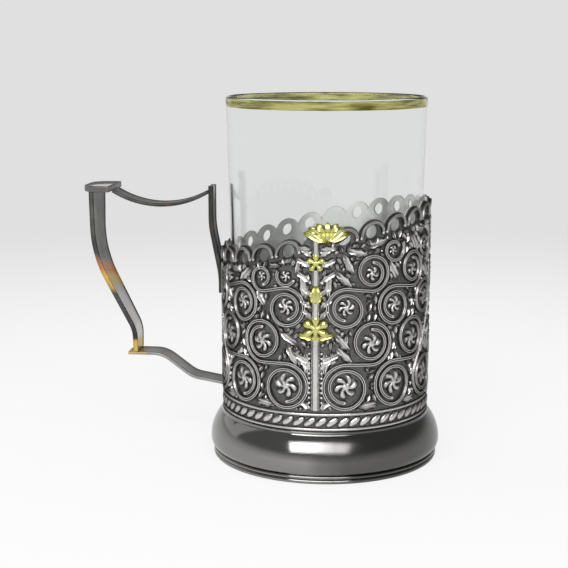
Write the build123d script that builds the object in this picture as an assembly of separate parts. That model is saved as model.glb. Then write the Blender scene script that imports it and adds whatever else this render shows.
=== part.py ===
from build123d import *
import math
import os

# Clearances, millimetres
SOLDER_GAP = 0.06
ORNAMENT_GAP = 0.7
RIM_CLEARANCE = 0.2

# Glass
GLASS_RIM_RADIUS = 33.2
GLASS_TAPER = 2.4
GLASS_HEIGHT = 111.5
GLASS_WALL = 1.1
GLASS_BASE_THICKNESS = 4.0
GLASS_CORNER_RADIUS = 3.0
GLASS_RIM_STRAIGHT = 5.0
BAND_HEIGHT = 2.8
BAND_THICKNESS = 0.15
BAND_DROP = 0.5

# Sleeve and its scalloped top edge
SLEEVE_WALL = 1.0
CREST_MID_HEIGHT = 75.8
CREST_RISE = 8.0
SCALLOP_COUNT = 24
SCALLOP_RADIUS = 4.75
SCALLOP_HOLE_RADIUS = 1.7
SCALLOP_ARCH_WIDTH = 1.1

# Floor and foot
FLOOR_HEIGHT = 10.2
FLOOR_THICKNESS = 1.2
FLOOR_FLANGE = 3.0
FOOT_HEIGHT = 16.5
FOOT_NECK_WALL = 0.85
FOOT_FLARE = 3.9
FOOT_WIDEST_HEIGHT = 5.8
FOOT_NECK_LENGTH = 1.0
FOOT_WALL = 1.2
FOOT_UNDERCUT = 1.4
LIP_HEIGHT = 2.7
LIP_SPREAD = 0.5
LIP_WIDTH = 3.6
LIP_ROUNDING = 1.1

# Border at the bottom of the scrollwork
BORDER_WIRE_RADIUS = 0.6
ROPE_HEIGHT = 3.6
ROPE_COUNT = 60
ROPE_STRAND_WIDTH = 1.9
ROPE_SLANT = 52.0
ROPE_RISE = 0.8

# Scrollwork
RELIEF_RISE = 0.95
ROSETTE_RISE = 0.75
WIRE_WIDTH = 1.3
SCROLL_RADII = (7.9, 7.4, 6.7, 6.2, 4.4)
SMALL_SCROLL_RADII = (4.4, 3.6)
SCROLL_STEP = 1.0
SCROLL_HALF_TURNS = 3
COLUMN_FIRST = 16.0
COLUMN_PITCH = 28.0
ROSETTE_PETALS = 6
MOTIF_STEM_WIDTH = 1.3
LEAF_LENGTH = 5.6
LEAF_WIDTH = 3.0

# Handle
STRAP_THICKNESS = 1.7
HANDLE_TOP = 91.5
HANDLE_PROJECTION = 47.5
THUMB_PLATE_LENGTH = 9.6
THUMB_PLATE_WIDTH = 18.0
THUMB_PLATE_THICKNESS = 2.0
THUMB_PLATE_CORNER = 5.5
GRIP_INSET = 3.2
GRIP_BEND_DROP = 23.6
GRIP_TOP_WIDTH = 17.0
GRIP_BEND_RADIUS = 40.0
KNEE_INSET = 13.4
KNEE_LENGTH = 7.5
KNEE_BEND_RADIUS = 12.0
KNEE_OVERHANG = 1.8
ARM_HEIGHT = 33.0
ARM_WIDTH = 9.0
ARM_LEVEL_SHARE = 0.30
ARM_SLANT_SHARE = 0.34
ARM_BEND_RADIUS = 10.0
BRIDGE_SAG = 5.0
BRIDGE_WIDTH = 9.0
BACK_STRAP_WIDTH = 7.0
BACK_STRAP_STANDOFF = 3.4
BACK_STRAP_FOOT_LENGTH = 6.0
BACK_STRAP_BELOW_CREST = 6.8
BACK_STRAP_TOP_LENGTH = 9.5
BACK_STRAP_BEND_RADIUS = 30.0

# Sizes that follow from the ones above
SLEEVE_BORE = GLASS_RIM_RADIUS + RIM_CLEARANCE
SLEEVE_RADIUS = SLEEVE_BORE + SLEEVE_WALL
RELIEF_BASE = SLEEVE_RADIUS + SOLDER_GAP
RELIEF_MIDDLE = RELIEF_BASE + RELIEF_RISE / 2
SLEEVE_BOTTOM = FLOOR_HEIGHT - FLOOR_THICKNESS - FLOOR_FLANGE
NECK_RADIUS = RELIEF_BASE + FOOT_NECK_WALL
FOOT_RADIUS = NECK_RADIUS + FOOT_FLARE
LIP_TOP = LIP_HEIGHT + SOLDER_GAP
LOWER_WIRE_HEIGHT = FOOT_HEIGHT + BORDER_WIRE_RADIUS + SOLDER_GAP
ROPE_BOTTOM = LOWER_WIRE_HEIGHT + BORDER_WIRE_RADIUS + SOLDER_GAP
UPPER_WIRE_HEIGHT = ROPE_BOTTOM + ROPE_HEIGHT + SOLDER_GAP + BORDER_WIRE_RADIUS
BORDER_TOP = UPPER_WIRE_HEIGHT + BORDER_WIRE_RADIUS
FIELD_BOTTOM = BORDER_TOP + ORNAMENT_GAP
HANDLE_REACH = RELIEF_BASE + HANDLE_PROJECTION
MOTIF_HALF_SPAN = math.radians(COLUMN_FIRST) * RELIEF_MIDDLE
COLUMN_HALF_SPAN = math.radians(COLUMN_PITCH) * RELIEF_MIDDLE / 2
STEM_LIMIT = MOTIF_HALF_SPAN - MOTIF_STEM_WIDTH / 2 - ORNAMENT_GAP
SCROLL_LIMIT = min(COLUMN_HALF_SPAN - ORNAMENT_GAP / 2, STEM_LIMIT)
TALL = 3 * GLASS_HEIGHT
HANDLE_ANGLE = -90.0
MOTIF_ANGLES = (0.0, 180.0)
SCALLOP_PITCH = 360 / SCALLOP_COUNT


def tube(outer, inner, bottom, height):
    ring = Cylinder(outer, height) - Cylinder(inner, 2 * height)
    return Pos(0, 0, bottom + height / 2) * ring


def turned(*edges):
    return revolve(make_face(Plane.XZ * Curve(edges)), Axis.Z)


def crest_height(angle):
    return CREST_MID_HEIGHT + CREST_RISE * math.sin(math.radians(angle))


def tangent_plane(angle, height, distance):
    turn = math.radians(angle)
    out = Vector(math.sin(turn), -math.cos(turn), 0)
    return Plane(out * distance + Vector(0, 0, height), (math.cos(turn), math.sin(turn), 0), out)


def angle_apart(first, second):
    return abs((first - second + 180) % 360 - 180)


def raised(sketch, angle, height, rise):
    depth = 0.25 * RELIEF_BASE
    plane = tangent_plane(angle, height, RELIEF_BASE - depth)
    block = extrude(plane * sketch, depth + 2 * rise)
    return block & tube(RELIEF_BASE + rise, RELIEF_BASE, -TALL / 2, TALL)


def polar(center, radius, angle):
    turn = math.radians(angle)
    return (center[0] + radius * math.cos(turn), center[1] + radius * math.sin(turn))


def leaf_outline(start, tip, width):
    length = math.dist(start, tip)
    across = ((start[1] - tip[1]) / length * width / 2, (tip[0] - start[0]) / length * width / 2)
    middle = ((start[0] + tip[0]) / 2, (start[1] + tip[1]) / 2)
    left = (middle[0] + across[0], middle[1] + across[1])
    right = (middle[0] - across[0], middle[1] - across[1])
    return make_face(Curve([ThreePointArc(start, left, tip), ThreePointArc(tip, right, start)]))


def rosette_outline(radius, petals):
    petal = radius * math.sin(math.pi / petals) * 0.8
    reach = radius - petal
    half = math.pi / petals
    notch = reach * math.cos(half) + math.sqrt(max(petal**2 - (reach * math.sin(half)) ** 2, 0.0))
    arcs = []
    for index in range(petals):
        middle = 90 + index * 360 / petals
        before = polar((0, 0), notch, middle - 180 / petals)
        after = polar((0, 0), notch, middle + 180 / petals)
        arcs.append(ThreePointArc(before, polar((0, 0), radius, middle), after))
    return make_face(Curve(arcs))


def spiral(center, radius, start, sense, half_turns):
    arcs = []
    for _ in range(half_turns):
        arcs.append((center, radius, start, sense * 180.0))
        start += sense * 180.0
        center = polar(center, SCROLL_STEP, start)
        radius -= SCROLL_STEP
    return arcs


def ribbon(lead_in, straight, lead_out):
    half = WIRE_WIDTH / 2
    left = []
    right = []
    path = [(c, r, a + s, -s) for c, r, a, s in reversed(lead_in)]
    for center, radius, start, sweep in path:
        lean = math.copysign(half, sweep)
        left.append(CenterArc(center, radius - lean, start, sweep))
        right.append(CenterArc(center, radius + lean, start, sweep))
    if straight:
        (x0, y0), (x1, y1) = straight
        length = math.dist((x0, y0), (x1, y1))
        nx = (y0 - y1) / length * half
        ny = (x1 - x0) / length * half
        left.append(Line((x0 + nx, y0 + ny), (x1 + nx, y1 + ny)))
        right.append(Line((x0 - nx, y0 - ny), (x1 - nx, y1 - ny)))
    for center, radius, start, sweep in lead_out:
        lean = math.copysign(half, sweep)
        left.append(CenterArc(center, radius - lean, start, sweep))
        right.append(CenterArc(center, radius + lean, start, sweep))
    ends = [Line(left[0] @ 0, right[0] @ 0), Line(left[-1] @ 1, right[-1] @ 1)]
    return make_face(Curve(left + right + ends))


def half_turns_for(radius):
    eye = 2 * SCROLL_STEP + WIRE_WIDTH
    turns = SCROLL_HALF_TURNS
    while turns > 1 and radius - turns * SCROLL_STEP < eye - SCROLL_STEP:
        turns -= 1
    return turns


def column_angles(row):
    quarter = []
    front = COLUMN_FIRST + (row % 2) * COLUMN_PITCH / 2
    while front + COLUMN_PITCH / 2 <= 90:
        quarter.append(front)
        front += COLUMN_PITCH
    angles = []
    for front in quarter:
        angles += [front, 180 - front, -front, front - 180]
    if row % 2:
        angles.append(90)
    return [round(angle, 3) for angle in angles]


def resting_height(placed, row, angle, radius):
    height = FIELD_BOTTOM + radius if row == 0 else 0.0
    for (other_row, other), (low, size) in placed.items():
        across = math.radians(angle_apart(angle, other)) * RELIEF_MIDDLE
        reach = radius + size + ORNAMENT_GAP
        if row == other_row + 1 and across < reach:
            height = max(height, low + math.sqrt(reach**2 - across**2))
    return height


def place_scrolls():
    placed = {}
    for row, full in enumerate(SCROLL_RADII):
        smaller = [radius for radius in SMALL_SCROLL_RADII if row > 1 and radius < full]
        for angle in column_angles(row):
            for radius in [min(full, SCROLL_LIMIT)] + smaller:
                height = resting_height(placed, row, angle, radius)
                if 0 < height <= crest_height(angle) - radius - 1.5 * ORNAMENT_GAP:
                    placed[(row, angle)] = (height, radius)
                    break
    return placed


def link_partner(placed, row, angle):
    if row % 2:
        return None
    front = 90 - abs(90 - abs(angle)) + COLUMN_PITCH / 2
    beside = (row + 1, round(math.copysign(front if abs(angle) < 90 else 180 - front, angle), 3))
    above = (row + 2, angle)
    if beside in placed:
        return beside
    return above if row == 0 and above in placed else None


def eye_of(arcs):
    center, radius, _, _ = arcs[-1]
    return center, radius - WIRE_WIDTH / 2


def build_scrolls(placed):
    wires = []
    eyes = []
    linked = {}
    for key in placed:
        partner = link_partner(placed, *key)
        if partner:
            linked[key] = partner
    taken = set(linked.values())
    for key, (height, radius) in placed.items():
        if key in taken:
            continue
        row, angle = key
        sense = 1 if math.sin(math.radians(angle)) * math.cos(math.radians(angle)) >= 0 else -1
        line_radius = radius - WIRE_WIDTH / 2
        if key not in linked:
            arcs = spiral((0, 0), line_radius, 90 - 60 * sense, -sense, half_turns_for(radius))
            wires.append(raised(ribbon([], None, arcs), angle, height, RELIEF_RISE))
            eyes.append((angle, height, *eye_of(arcs)))
            continue
        other_row, other = linked[key]
        other_height, other_radius = placed[linked[key]]
        other_line = other_radius - WIRE_WIDTH / 2
        middle = (angle + other) / 2
        half_span = math.radians((other - angle) / 2) * RELIEF_MIDDLE
        center = (-half_span, height)
        partner = (half_span, other_height)
        toward = math.degrees(math.atan2(partner[1] - center[1], partner[0] - center[0]))
        lean = math.degrees(math.acos((line_radius + other_line) / math.dist(center, partner)))
        touch = toward + sense * lean
        straight = (polar(center, line_radius, touch), polar(partner, -other_line, touch))
        first = spiral(center, line_radius, touch, sense, half_turns_for(radius))
        second = spiral(partner, other_line, touch + 180, sense, half_turns_for(other_radius))
        wires.append(raised(ribbon(first, straight, second), middle, 0, RELIEF_RISE))
        eyes.append((middle, 0.0, *eye_of(first)))
        eyes.append((middle, 0.0, *eye_of(second)))
    return wires, eyes


def build_rosettes(eyes):
    rosettes = []
    for angle, height, center, room in eyes:
        radius = room - ORNAMENT_GAP
        outline = Pos(*center) * rosette_outline(radius, ROSETTE_PETALS)
        rosettes.append(raised(outline, angle, height, ROSETTE_RISE))
    return rosettes


def build_leaves(placed):
    leaves = []
    for angle in column_angles(1):
        height, radius = placed[(1, angle)]
        room = height - radius - ORNAMENT_GAP - FIELD_BOTTOM
        outline = leaf_outline((0, 0), (0, min(room, LEAF_LENGTH)), LEAF_WIDTH)
        leaves.append(raised(outline, angle, FIELD_BOTTOM, ROSETTE_RISE))
    return leaves


def build_spray(placed, angle):
    lower, lower_radius = placed[(0, COLUMN_FIRST)]
    upper, upper_radius = placed[(2, COLUMN_FIRST)]
    beside = MOTIF_HALF_SPAN
    open_middle = (lower + lower_radius + upper - upper_radius) / 2
    open_top = upper + upper_radius + 2 * ORNAMENT_GAP
    stem_height = open_top - FIELD_BOTTOM
    sketch = Pos(0, FIELD_BOTTOM + stem_height / 2) * Rectangle(MOTIF_STEM_WIDTH, stem_height)
    bloom = beside * 0.5
    sketch += Pos(0, open_middle + bloom / 3) * rosette_outline(bloom, ROSETTE_PETALS)
    for side in (-1, 1):
        start = (0, open_middle - 1.5 * bloom)
        sketch += leaf_outline(start, (side * beside * 0.62, start[1] + 1.2 * bloom), LEAF_WIDTH)
        start = (0, upper + upper_radius / 3)
        sketch += leaf_outline(start, (side * beside * 0.6, start[1] + 1.2 * bloom), LEAF_WIDTH * 0.8)
    bud_width = 2 * (beside - upper_radius - ORNAMENT_GAP)
    sketch += leaf_outline((0, upper - upper_radius * 0.8), (0, upper + upper_radius * 0.8), bud_width)
    fan = (0, open_top - 1)
    tallest = crest_height(angle) + SCALLOP_RADIUS - ORNAMENT_GAP - fan[1]
    for lean in (-38, -19, 0, 19, 38):
        tip = polar(fan, tallest * (1 - abs(lean) / 120), 90 + lean)
        sketch += leaf_outline(fan, tip, LEAF_WIDTH * 0.72)
    return raised(sketch, angle, 0, RELIEF_RISE)


def build_sleeve():
    shell = tube(SLEEVE_RADIUS, SLEEVE_BORE, SLEEVE_BOTTOM, TALL)
    slope = CREST_RISE / SLEEVE_RADIUS
    slanted = Plane((0, 0, CREST_MID_HEIGHT), (1, 0, slope), (-slope, 0, 1))
    body = split(shell, bisect_by=slanted, keep=Keep.BOTTOM)
    reach = 2 * (SLEEVE_RADIUS - SLEEVE_BORE) + SCALLOP_RADIUS
    lobes = []
    holes = []
    for index in range(SCALLOP_COUNT):
        angle = index * SCALLOP_PITCH
        plane = tangent_plane(angle, crest_height(angle), SLEEVE_RADIUS)
        lobes.append((plane * Cylinder(SCALLOP_RADIUS, reach)) & shell)
        if min(angle_apart(angle, motif) for motif in MOTIF_ANGLES) > SCALLOP_PITCH / 2:
            eye = plane * Pos(0, SCALLOP_RADIUS * 0.2, 0)
            holes.append(eye * Cylinder(SCALLOP_HOLE_RADIUS, reach))
    return body + lobes - holes


def build_crest_arches():
    outer = SLEEVE_RADIUS * math.radians(SCALLOP_PITCH) / 2 - ORNAMENT_GAP / 3
    outer = min(outer, SCALLOP_RADIUS)
    inner = outer - SCALLOP_ARCH_WIDTH
    arches = []
    for index in range(SCALLOP_COUNT):
        angle = index * SCALLOP_PITCH
        if min(angle_apart(angle, fixed) for fixed in MOTIF_ANGLES + (HANDLE_ANGLE,)) < SCALLOP_PITCH / 2:
            continue
        ends = [Line((inner, 0), (outer, 0)), Line((-inner, 0), (-outer, 0))]
        arcs = [CenterArc((0, 0), outer, 0, 180), CenterArc((0, 0), inner, 0, 180)]
        outline = make_face(Curve(ends + arcs))
        arches.append(raised(outline, angle, crest_height(angle), ROSETTE_RISE))
    return arches


def build_rope():
    strands = []
    slot_length = (ROPE_HEIGHT - ROPE_STRAND_WIDTH) / math.sin(math.radians(ROPE_SLANT))
    middle = ROPE_BOTTOM + ROPE_HEIGHT / 2
    for index in range(ROPE_COUNT):
        angle = (index + 0.5) * 360 / ROPE_COUNT
        slant = math.copysign(ROPE_SLANT, math.cos(math.radians(angle)))
        outline = Rot(0, 0, slant) * SlotCenterToCenter(slot_length, ROPE_STRAND_WIDTH)
        strands.append(raised(outline, angle, middle, ROPE_RISE))
    return strands


def build_border_wire(height):
    wire = Pos(0, 0, height) * Torus(RELIEF_BASE, BORDER_WIRE_RADIUS)
    return wire - Pos(0, 0, height) * Cylinder(RELIEF_BASE, 4 * BORDER_WIRE_RADIUS)


def foot_profile(inset):
    low = LIP_TOP
    wide = FOOT_WIDEST_HEIGHT
    high = FOOT_HEIGHT - FOOT_NECK_LENGTH
    upper = (FOOT_FLARE**2 + (high - wide) ** 2) / (2 * FOOT_FLARE)
    lower = (FOOT_UNDERCUT**2 + (wide - low) ** 2) / (2 * FOOT_UNDERCUT)
    upper_center = FOOT_RADIUS - upper
    lower_center = FOOT_RADIUS - lower
    upper_end = math.degrees(math.asin((high - wide) / upper))
    lower_end = math.degrees(math.asin((wide - low) / lower))
    swell = CenterArc((upper_center, wide), upper - inset, 0, upper_end)
    tuck = CenterArc((lower_center, wide), lower - inset, -lower_end, lower_end)
    return swell, tuck


def build_foot():
    swell, tuck = foot_profile(0)
    top = (0, FOOT_HEIGHT)
    neck = (NECK_RADIUS, FOOT_HEIGHT)
    edges = [tuck, swell, Line(swell @ 1, neck), Line(neck, top), Line(top, (0, (tuck @ 0).Y))]
    outside = turned(*edges, Line((0, (tuck @ 0).Y), tuck @ 0))
    swell, tuck = foot_profile(FOOT_WALL)
    low = (tuck @ 0).Y
    shaft = [Line(swell @ 1, (0, (swell @ 1).Y)), Line((0, (swell @ 1).Y), (0, low))]
    hollow = turned(tuck, swell, *shaft, Line((0, low), tuck @ 0))
    below = Pos(0, 0, low / 2) * Cylinder((tuck @ 0).X, low)
    return outside - hollow - below - Cylinder(RELIEF_BASE, TALL)


def build_lip():
    outer = FOOT_RADIUS - FOOT_UNDERCUT + LIP_SPREAD
    ring = tube(outer, outer - LIP_WIDTH, 0, LIP_HEIGHT)
    return fillet(ring.edges().filter_by(GeomType.CIRCLE).sort_by(SortBy.RADIUS)[-2:], LIP_ROUNDING)


def build_floor():
    radius = SLEEVE_BORE - SOLDER_GAP
    plate = Pos(0, 0, FLOOR_HEIGHT - FLOOR_THICKNESS / 2) * Cylinder(radius, FLOOR_THICKNESS)
    return plate + tube(radius, radius - FLOOR_THICKNESS, SLEEVE_BOTTOM, FLOOR_FLANGE)


def build_glass():
    bottom = FLOOR_HEIGHT
    top = bottom + GLASS_HEIGHT
    base = GLASS_RIM_RADIUS - GLASS_TAPER
    bend = top - GLASS_RIM_STRAIGHT
    inner = GLASS_RIM_RADIUS - GLASS_WALL
    inner_base = base - GLASS_WALL
    floor = bottom + GLASS_BASE_THICKNESS
    points = [
        (0, bottom),
        (base, bottom),
        (GLASS_RIM_RADIUS, bend),
        (GLASS_RIM_RADIUS, top),
        (inner, top),
        (inner, bend),
        (inner_base, floor),
        (0, floor),
    ]
    outline = make_face(Plane.XZ * Polyline(points, close=True))
    glass = revolve(outline, Axis.Z)
    corners = [e for e in glass.edges().filter_by(GeomType.CIRCLE) if e.center().Z < floor + 0.01]
    return fillet(corners, GLASS_CORNER_RADIUS)


def build_band():
    top = FLOOR_HEIGHT + GLASS_HEIGHT - BAND_DROP
    inner = GLASS_RIM_RADIUS + SOLDER_GAP
    return tube(inner + BAND_THICKNESS, inner, top - BAND_HEIGHT, BAND_HEIGHT)


def strap(path, width):
    return extrude(Plane.XZ * trace(path, STRAP_THICKNESS), width / 2, both=True)


def build_handle():
    half = STRAP_THICKNESS / 2
    plate_bottom = HANDLE_TOP - THUMB_PLATE_THICKNESS
    plate_end = THUMB_PLATE_LENGTH - HANDLE_REACH
    plate = Rectangle(THUMB_PLATE_LENGTH, THUMB_PLATE_WIDTH)
    plate = fillet(plate.vertices().sort_by(Axis.X)[:2], THUMB_PLATE_CORNER)
    plate = Pos(plate_end - THUMB_PLATE_LENGTH / 2, 0, plate_bottom) * plate
    thumb_plate = extrude(plate, THUMB_PLATE_THICKNESS)

    grip_x = GRIP_INSET - HANDLE_REACH
    knee_x = grip_x + KNEE_INSET
    grip_top = plate_bottom - SOLDER_GAP
    grip_bottom = ARM_HEIGHT + half + SOLDER_GAP
    bend = (grip_x, HANDLE_TOP - GRIP_BEND_DROP)
    knee = (knee_x, grip_bottom + KNEE_LENGTH)
    radii = (GRIP_BEND_RADIUS, KNEE_BEND_RADIUS)
    path = FilletPolyline((grip_x, grip_top), bend, knee, (knee_x, grip_bottom), radius=radii)
    sides = [(GRIP_TOP_WIDTH / 2, grip_top), (ARM_WIDTH / 2, grip_bottom)]
    sides += [(-ARM_WIDTH / 2, grip_bottom), (-GRIP_TOP_WIDTH / 2, grip_top)]
    taper = extrude(make_face(Plane.YZ * Polyline(sides, close=True)), TALL, both=True)
    grip = strap(path, 2 * GRIP_TOP_WIDTH) & taper

    seat = BORDER_TOP + SOLDER_GAP + half
    arm_start = (knee_x - half - KNEE_OVERHANG, ARM_HEIGHT)
    span = -RELIEF_BASE - knee_x
    level_end = (knee_x + ARM_LEVEL_SHARE * span, ARM_HEIGHT)
    slant_end = (level_end[0] + ARM_SLANT_SHARE * span, seat + 0.2 * (ARM_HEIGHT - seat))
    arm_end = (-0.95 * RELIEF_BASE, seat)
    path = FilletPolyline(arm_start, level_end, slant_end, arm_end, radius=ARM_BEND_RADIUS)
    around = Cylinder(RELIEF_BASE, TALL)
    arm = strap(path, ARM_WIDTH) - around - build_border_clearance()

    lower_x = -RELIEF_BASE - half
    upper_x = lower_x - BACK_STRAP_STANDOFF
    bend = crest_height(HANDLE_ANGLE) - BACK_STRAP_BELOW_CREST
    points = [(lower_x, bend - BACK_STRAP_FOOT_LENGTH), (lower_x, bend)]
    points += [(upper_x, HANDLE_TOP - BACK_STRAP_TOP_LENGTH), (upper_x, HANDLE_TOP)]
    path = FilletPolyline(*points, radius=BACK_STRAP_BEND_RADIUS)
    back = strap(path, BACK_STRAP_WIDTH) - around

    outer_end = plate_end + SOLDER_GAP
    inner_end = upper_x - half - SOLDER_GAP
    level = plate_bottom + half / 2
    middle = ((outer_end + inner_end) / 2, level - BRIDGE_SAG)
    curve = ThreePointArc((outer_end - half, level + 0.5), middle, (inner_end + half, level + 0.5))
    keep = Pos((outer_end + inner_end) / 2, 0, level) * Box(inner_end - outer_end, TALL, TALL)
    bridge = strap(curve, BRIDGE_WIDTH) & keep
    return thumb_plate, grip, bridge, back, arm


def build_border_clearance():
    return Pos(0, 0, BORDER_TOP + SOLDER_GAP - TALL / 2) * Cylinder(RELIEF_BASE + 2 * RELIEF_RISE, TALL)


def write(name, *shapes):
    solids = [solid for shape in shapes for solid in shape.solids()]
    export_step(solids[0] if len(solids) == 1 else Compound(children=solids), f"parts/{name}.step")


def main():
    os.makedirs("parts", exist_ok=True)
    placed = place_scrolls()
    wires, eyes = build_scrolls(placed)
    thumb_plate, grip, bridge, back, arm = build_handle()
    write("sleeve", build_sleeve())
    write("floor_plate", build_floor())
    write("foot_ring", build_foot())
    write("foot_lip", build_lip())
    write("border_wire_lower", build_border_wire(LOWER_WIRE_HEIGHT))
    write("border_wire_upper", build_border_wire(UPPER_WIRE_HEIGHT))
    write("border_rope", *build_rope())
    write("scroll_wires", *wires)
    write("scroll_rosettes", *build_rosettes(eyes))
    write("filler_leaves", *build_leaves(placed))
    write("gilt_spray_front", build_spray(placed, MOTIF_ANGLES[0]))
    write("gilt_spray_back", build_spray(placed, MOTIF_ANGLES[1]))
    write("crest_petals", *build_crest_arches())
    write("handle_thumb_plate", thumb_plate)
    write("handle_grip_strap", grip)
    write("handle_bridge_strap", bridge)
    write("handle_back_strap", back)
    write("handle_lower_arm", arm)
    write("glass_tumbler", build_glass())
    write("glass_gilt_band", build_band())


main()
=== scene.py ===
import math

import bmesh
import bpy
from bpy.props import FloatProperty, FloatVectorProperty, IntProperty, PointerProperty
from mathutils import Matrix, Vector


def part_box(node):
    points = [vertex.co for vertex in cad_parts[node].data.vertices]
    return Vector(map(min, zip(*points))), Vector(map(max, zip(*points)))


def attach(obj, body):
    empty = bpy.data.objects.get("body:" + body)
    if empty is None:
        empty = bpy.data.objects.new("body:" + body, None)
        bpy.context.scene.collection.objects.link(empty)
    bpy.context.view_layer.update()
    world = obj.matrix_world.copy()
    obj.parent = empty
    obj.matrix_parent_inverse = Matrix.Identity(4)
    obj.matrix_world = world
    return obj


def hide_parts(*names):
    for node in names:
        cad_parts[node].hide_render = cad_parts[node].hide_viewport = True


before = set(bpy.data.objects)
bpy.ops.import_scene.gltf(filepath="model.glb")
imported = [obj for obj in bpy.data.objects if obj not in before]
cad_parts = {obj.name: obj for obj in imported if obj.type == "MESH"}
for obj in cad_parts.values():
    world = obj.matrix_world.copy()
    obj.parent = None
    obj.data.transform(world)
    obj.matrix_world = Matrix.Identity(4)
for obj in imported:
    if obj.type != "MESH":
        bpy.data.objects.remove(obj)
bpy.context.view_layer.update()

bl_info = {
    "name": "Tea Glass Holder",
    "version": (1, 0, 0),
    "blender": (4, 5, 0),
    "location": "View3D > Sidebar > Tea Holder",
    "description": "Dresses a tea glass holder: scrollwork, handle, foot and glass",
    "category": "Object",
}

MM = 0.001

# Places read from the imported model
SLEEVE_LOW, SLEEVE_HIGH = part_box("sleeve")
SLEEVE_RADIUS = SLEEVE_HIGH.y
FOOT_LOW, FOOT_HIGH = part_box("foot_ring")
LIP_LOW, LIP_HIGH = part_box("foot_lip")
LOWER_WIRE_LOW, LOWER_WIRE_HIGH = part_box("border_wire_lower")
UPPER_WIRE_LOW, UPPER_WIRE_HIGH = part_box("border_wire_upper")
ROPE_LOW, ROPE_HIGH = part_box("border_rope")
GLASS_LOW, GLASS_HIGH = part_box("glass_tumbler")
BAND_LOW, BAND_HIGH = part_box("glass_gilt_band")
PLATE_LOW, PLATE_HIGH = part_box("handle_thumb_plate")
GRIP_LOW, GRIP_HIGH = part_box("handle_grip_strap")
BRIDGE_LOW, BRIDGE_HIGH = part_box("handle_bridge_strap")
BACK_LOW, BACK_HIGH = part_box("handle_back_strap")
ARM_LOW, ARM_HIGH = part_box("handle_lower_arm")

# The arm and the bridge are thinner than the other straps
THIN_SHARE = 0.68

# Tarnished silver stays dull where it is seen edge on
EDGE_TINT = (0.3, 0.3, 0.3)

# Middle of the painted light on the lining, and the run over which painted shade darkens the foot away from
# the handle
LINING_LIGHT_MIDDLE = 2 * MM
FOOT_SHADE_RUN = 20 * MM

# Worn patches of the handle: height, reach up and down, and where outwards each starts and over what run
PALM_PATCH = (62.5 * MM, 6.2 * MM, 56 * MM, 2.0 * MM)
KNEE_PATCH = (35.0 * MM, 3.6 * MM, 61 * MM, 1.5 * MM)
PATCH_DRIFT = 16 * MM

# Height from which copper shows in place of brass
COPPER_START = 60.9 * MM
COPPER_FADE = 2.5 * MM

FRONT_AND_BACK = (0.0, 180.0)
HANDLE_ANGLE = -90.0


def number(name, description, default, unit="NONE"):
    return FloatProperty(name=name, description=description, default=default, unit=unit)


def length(name, description, default):
    return number(name, description, default, "LENGTH")


def count(name, description, default):
    return IntProperty(name=name, description=description, default=default)


def angle(name, description, degrees):
    return FloatProperty(name=name, description=description, default=math.radians(degrees), subtype="ANGLE")


def colour(name, description, default):
    return FloatVectorProperty(
        name=name, description=description, default=default, subtype="COLOR", size=3, min=0, max=1
    )


class HolderSizes(bpy.types.PropertyGroup):
    """Sizes of the metalwork and the glass"""

    solder_gap: length("Solder gap", "Space between a piece and what carries it", 0.06 * MM)
    ornament_gap: length("Ornament gap", "Least space between scrolls", 0.7 * MM)
    sleeve_wall: length("Sleeve wall", "Thickness of the sleeve", 1.0 * MM)
    crest_rise: length("Crest rise", "How far the top edge climbs from the middle to its high side", 8.0 * MM)
    scallop_count: count("Scallops", "Lobes round the top edge", 24)
    scallop_radius: length("Scallop radius", "Radius of a lobe of the top edge", 4.75 * MM)
    scallop_hole: length("Scallop hole", "Radius of the hole in a lobe", 2.0 * MM)
    relief_rise: length("Relief rise", "Height of the scrolls above the sleeve", 0.95 * MM)
    wire_width: length("Wire width", "Width of a scroll's wire", 1.3 * MM)
    scroll_step: length("Scroll step", "How far a scroll winds in at each half turn", 1.0 * MM)
    column_first: number("First column", "Degrees from the spray to a scroll", 16.0)
    column_pitch: number("Column pitch", "Degrees between scrolls in a row", 28.0)
    stem_width: length("Stem width", "Width of the silver stem of a spray", 2.7 * MM)
    pearl_radius: length("Pearl radius", "Radius of the pearls beside a stem", 0.62 * MM)
    rope_strands: count("Rope strands", "Strands of the rope border", 60)
    strap_thickness: length("Strap thickness", "Thickness of the handle's straps", 1.7 * MM)
    rim_width: length("Strap rim", "Width of the raised rim along a strap", 1.0 * MM)
    foot_wall: length("Foot wall", "Thickness of the spun foot", 1.2 * MM)
    glass_wall: length("Glass wall", "Thickness of the glass", 1.1 * MM)
    glass_taper: length("Glass taper", "How much narrower the glass is at its base", 2.4 * MM)


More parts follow.
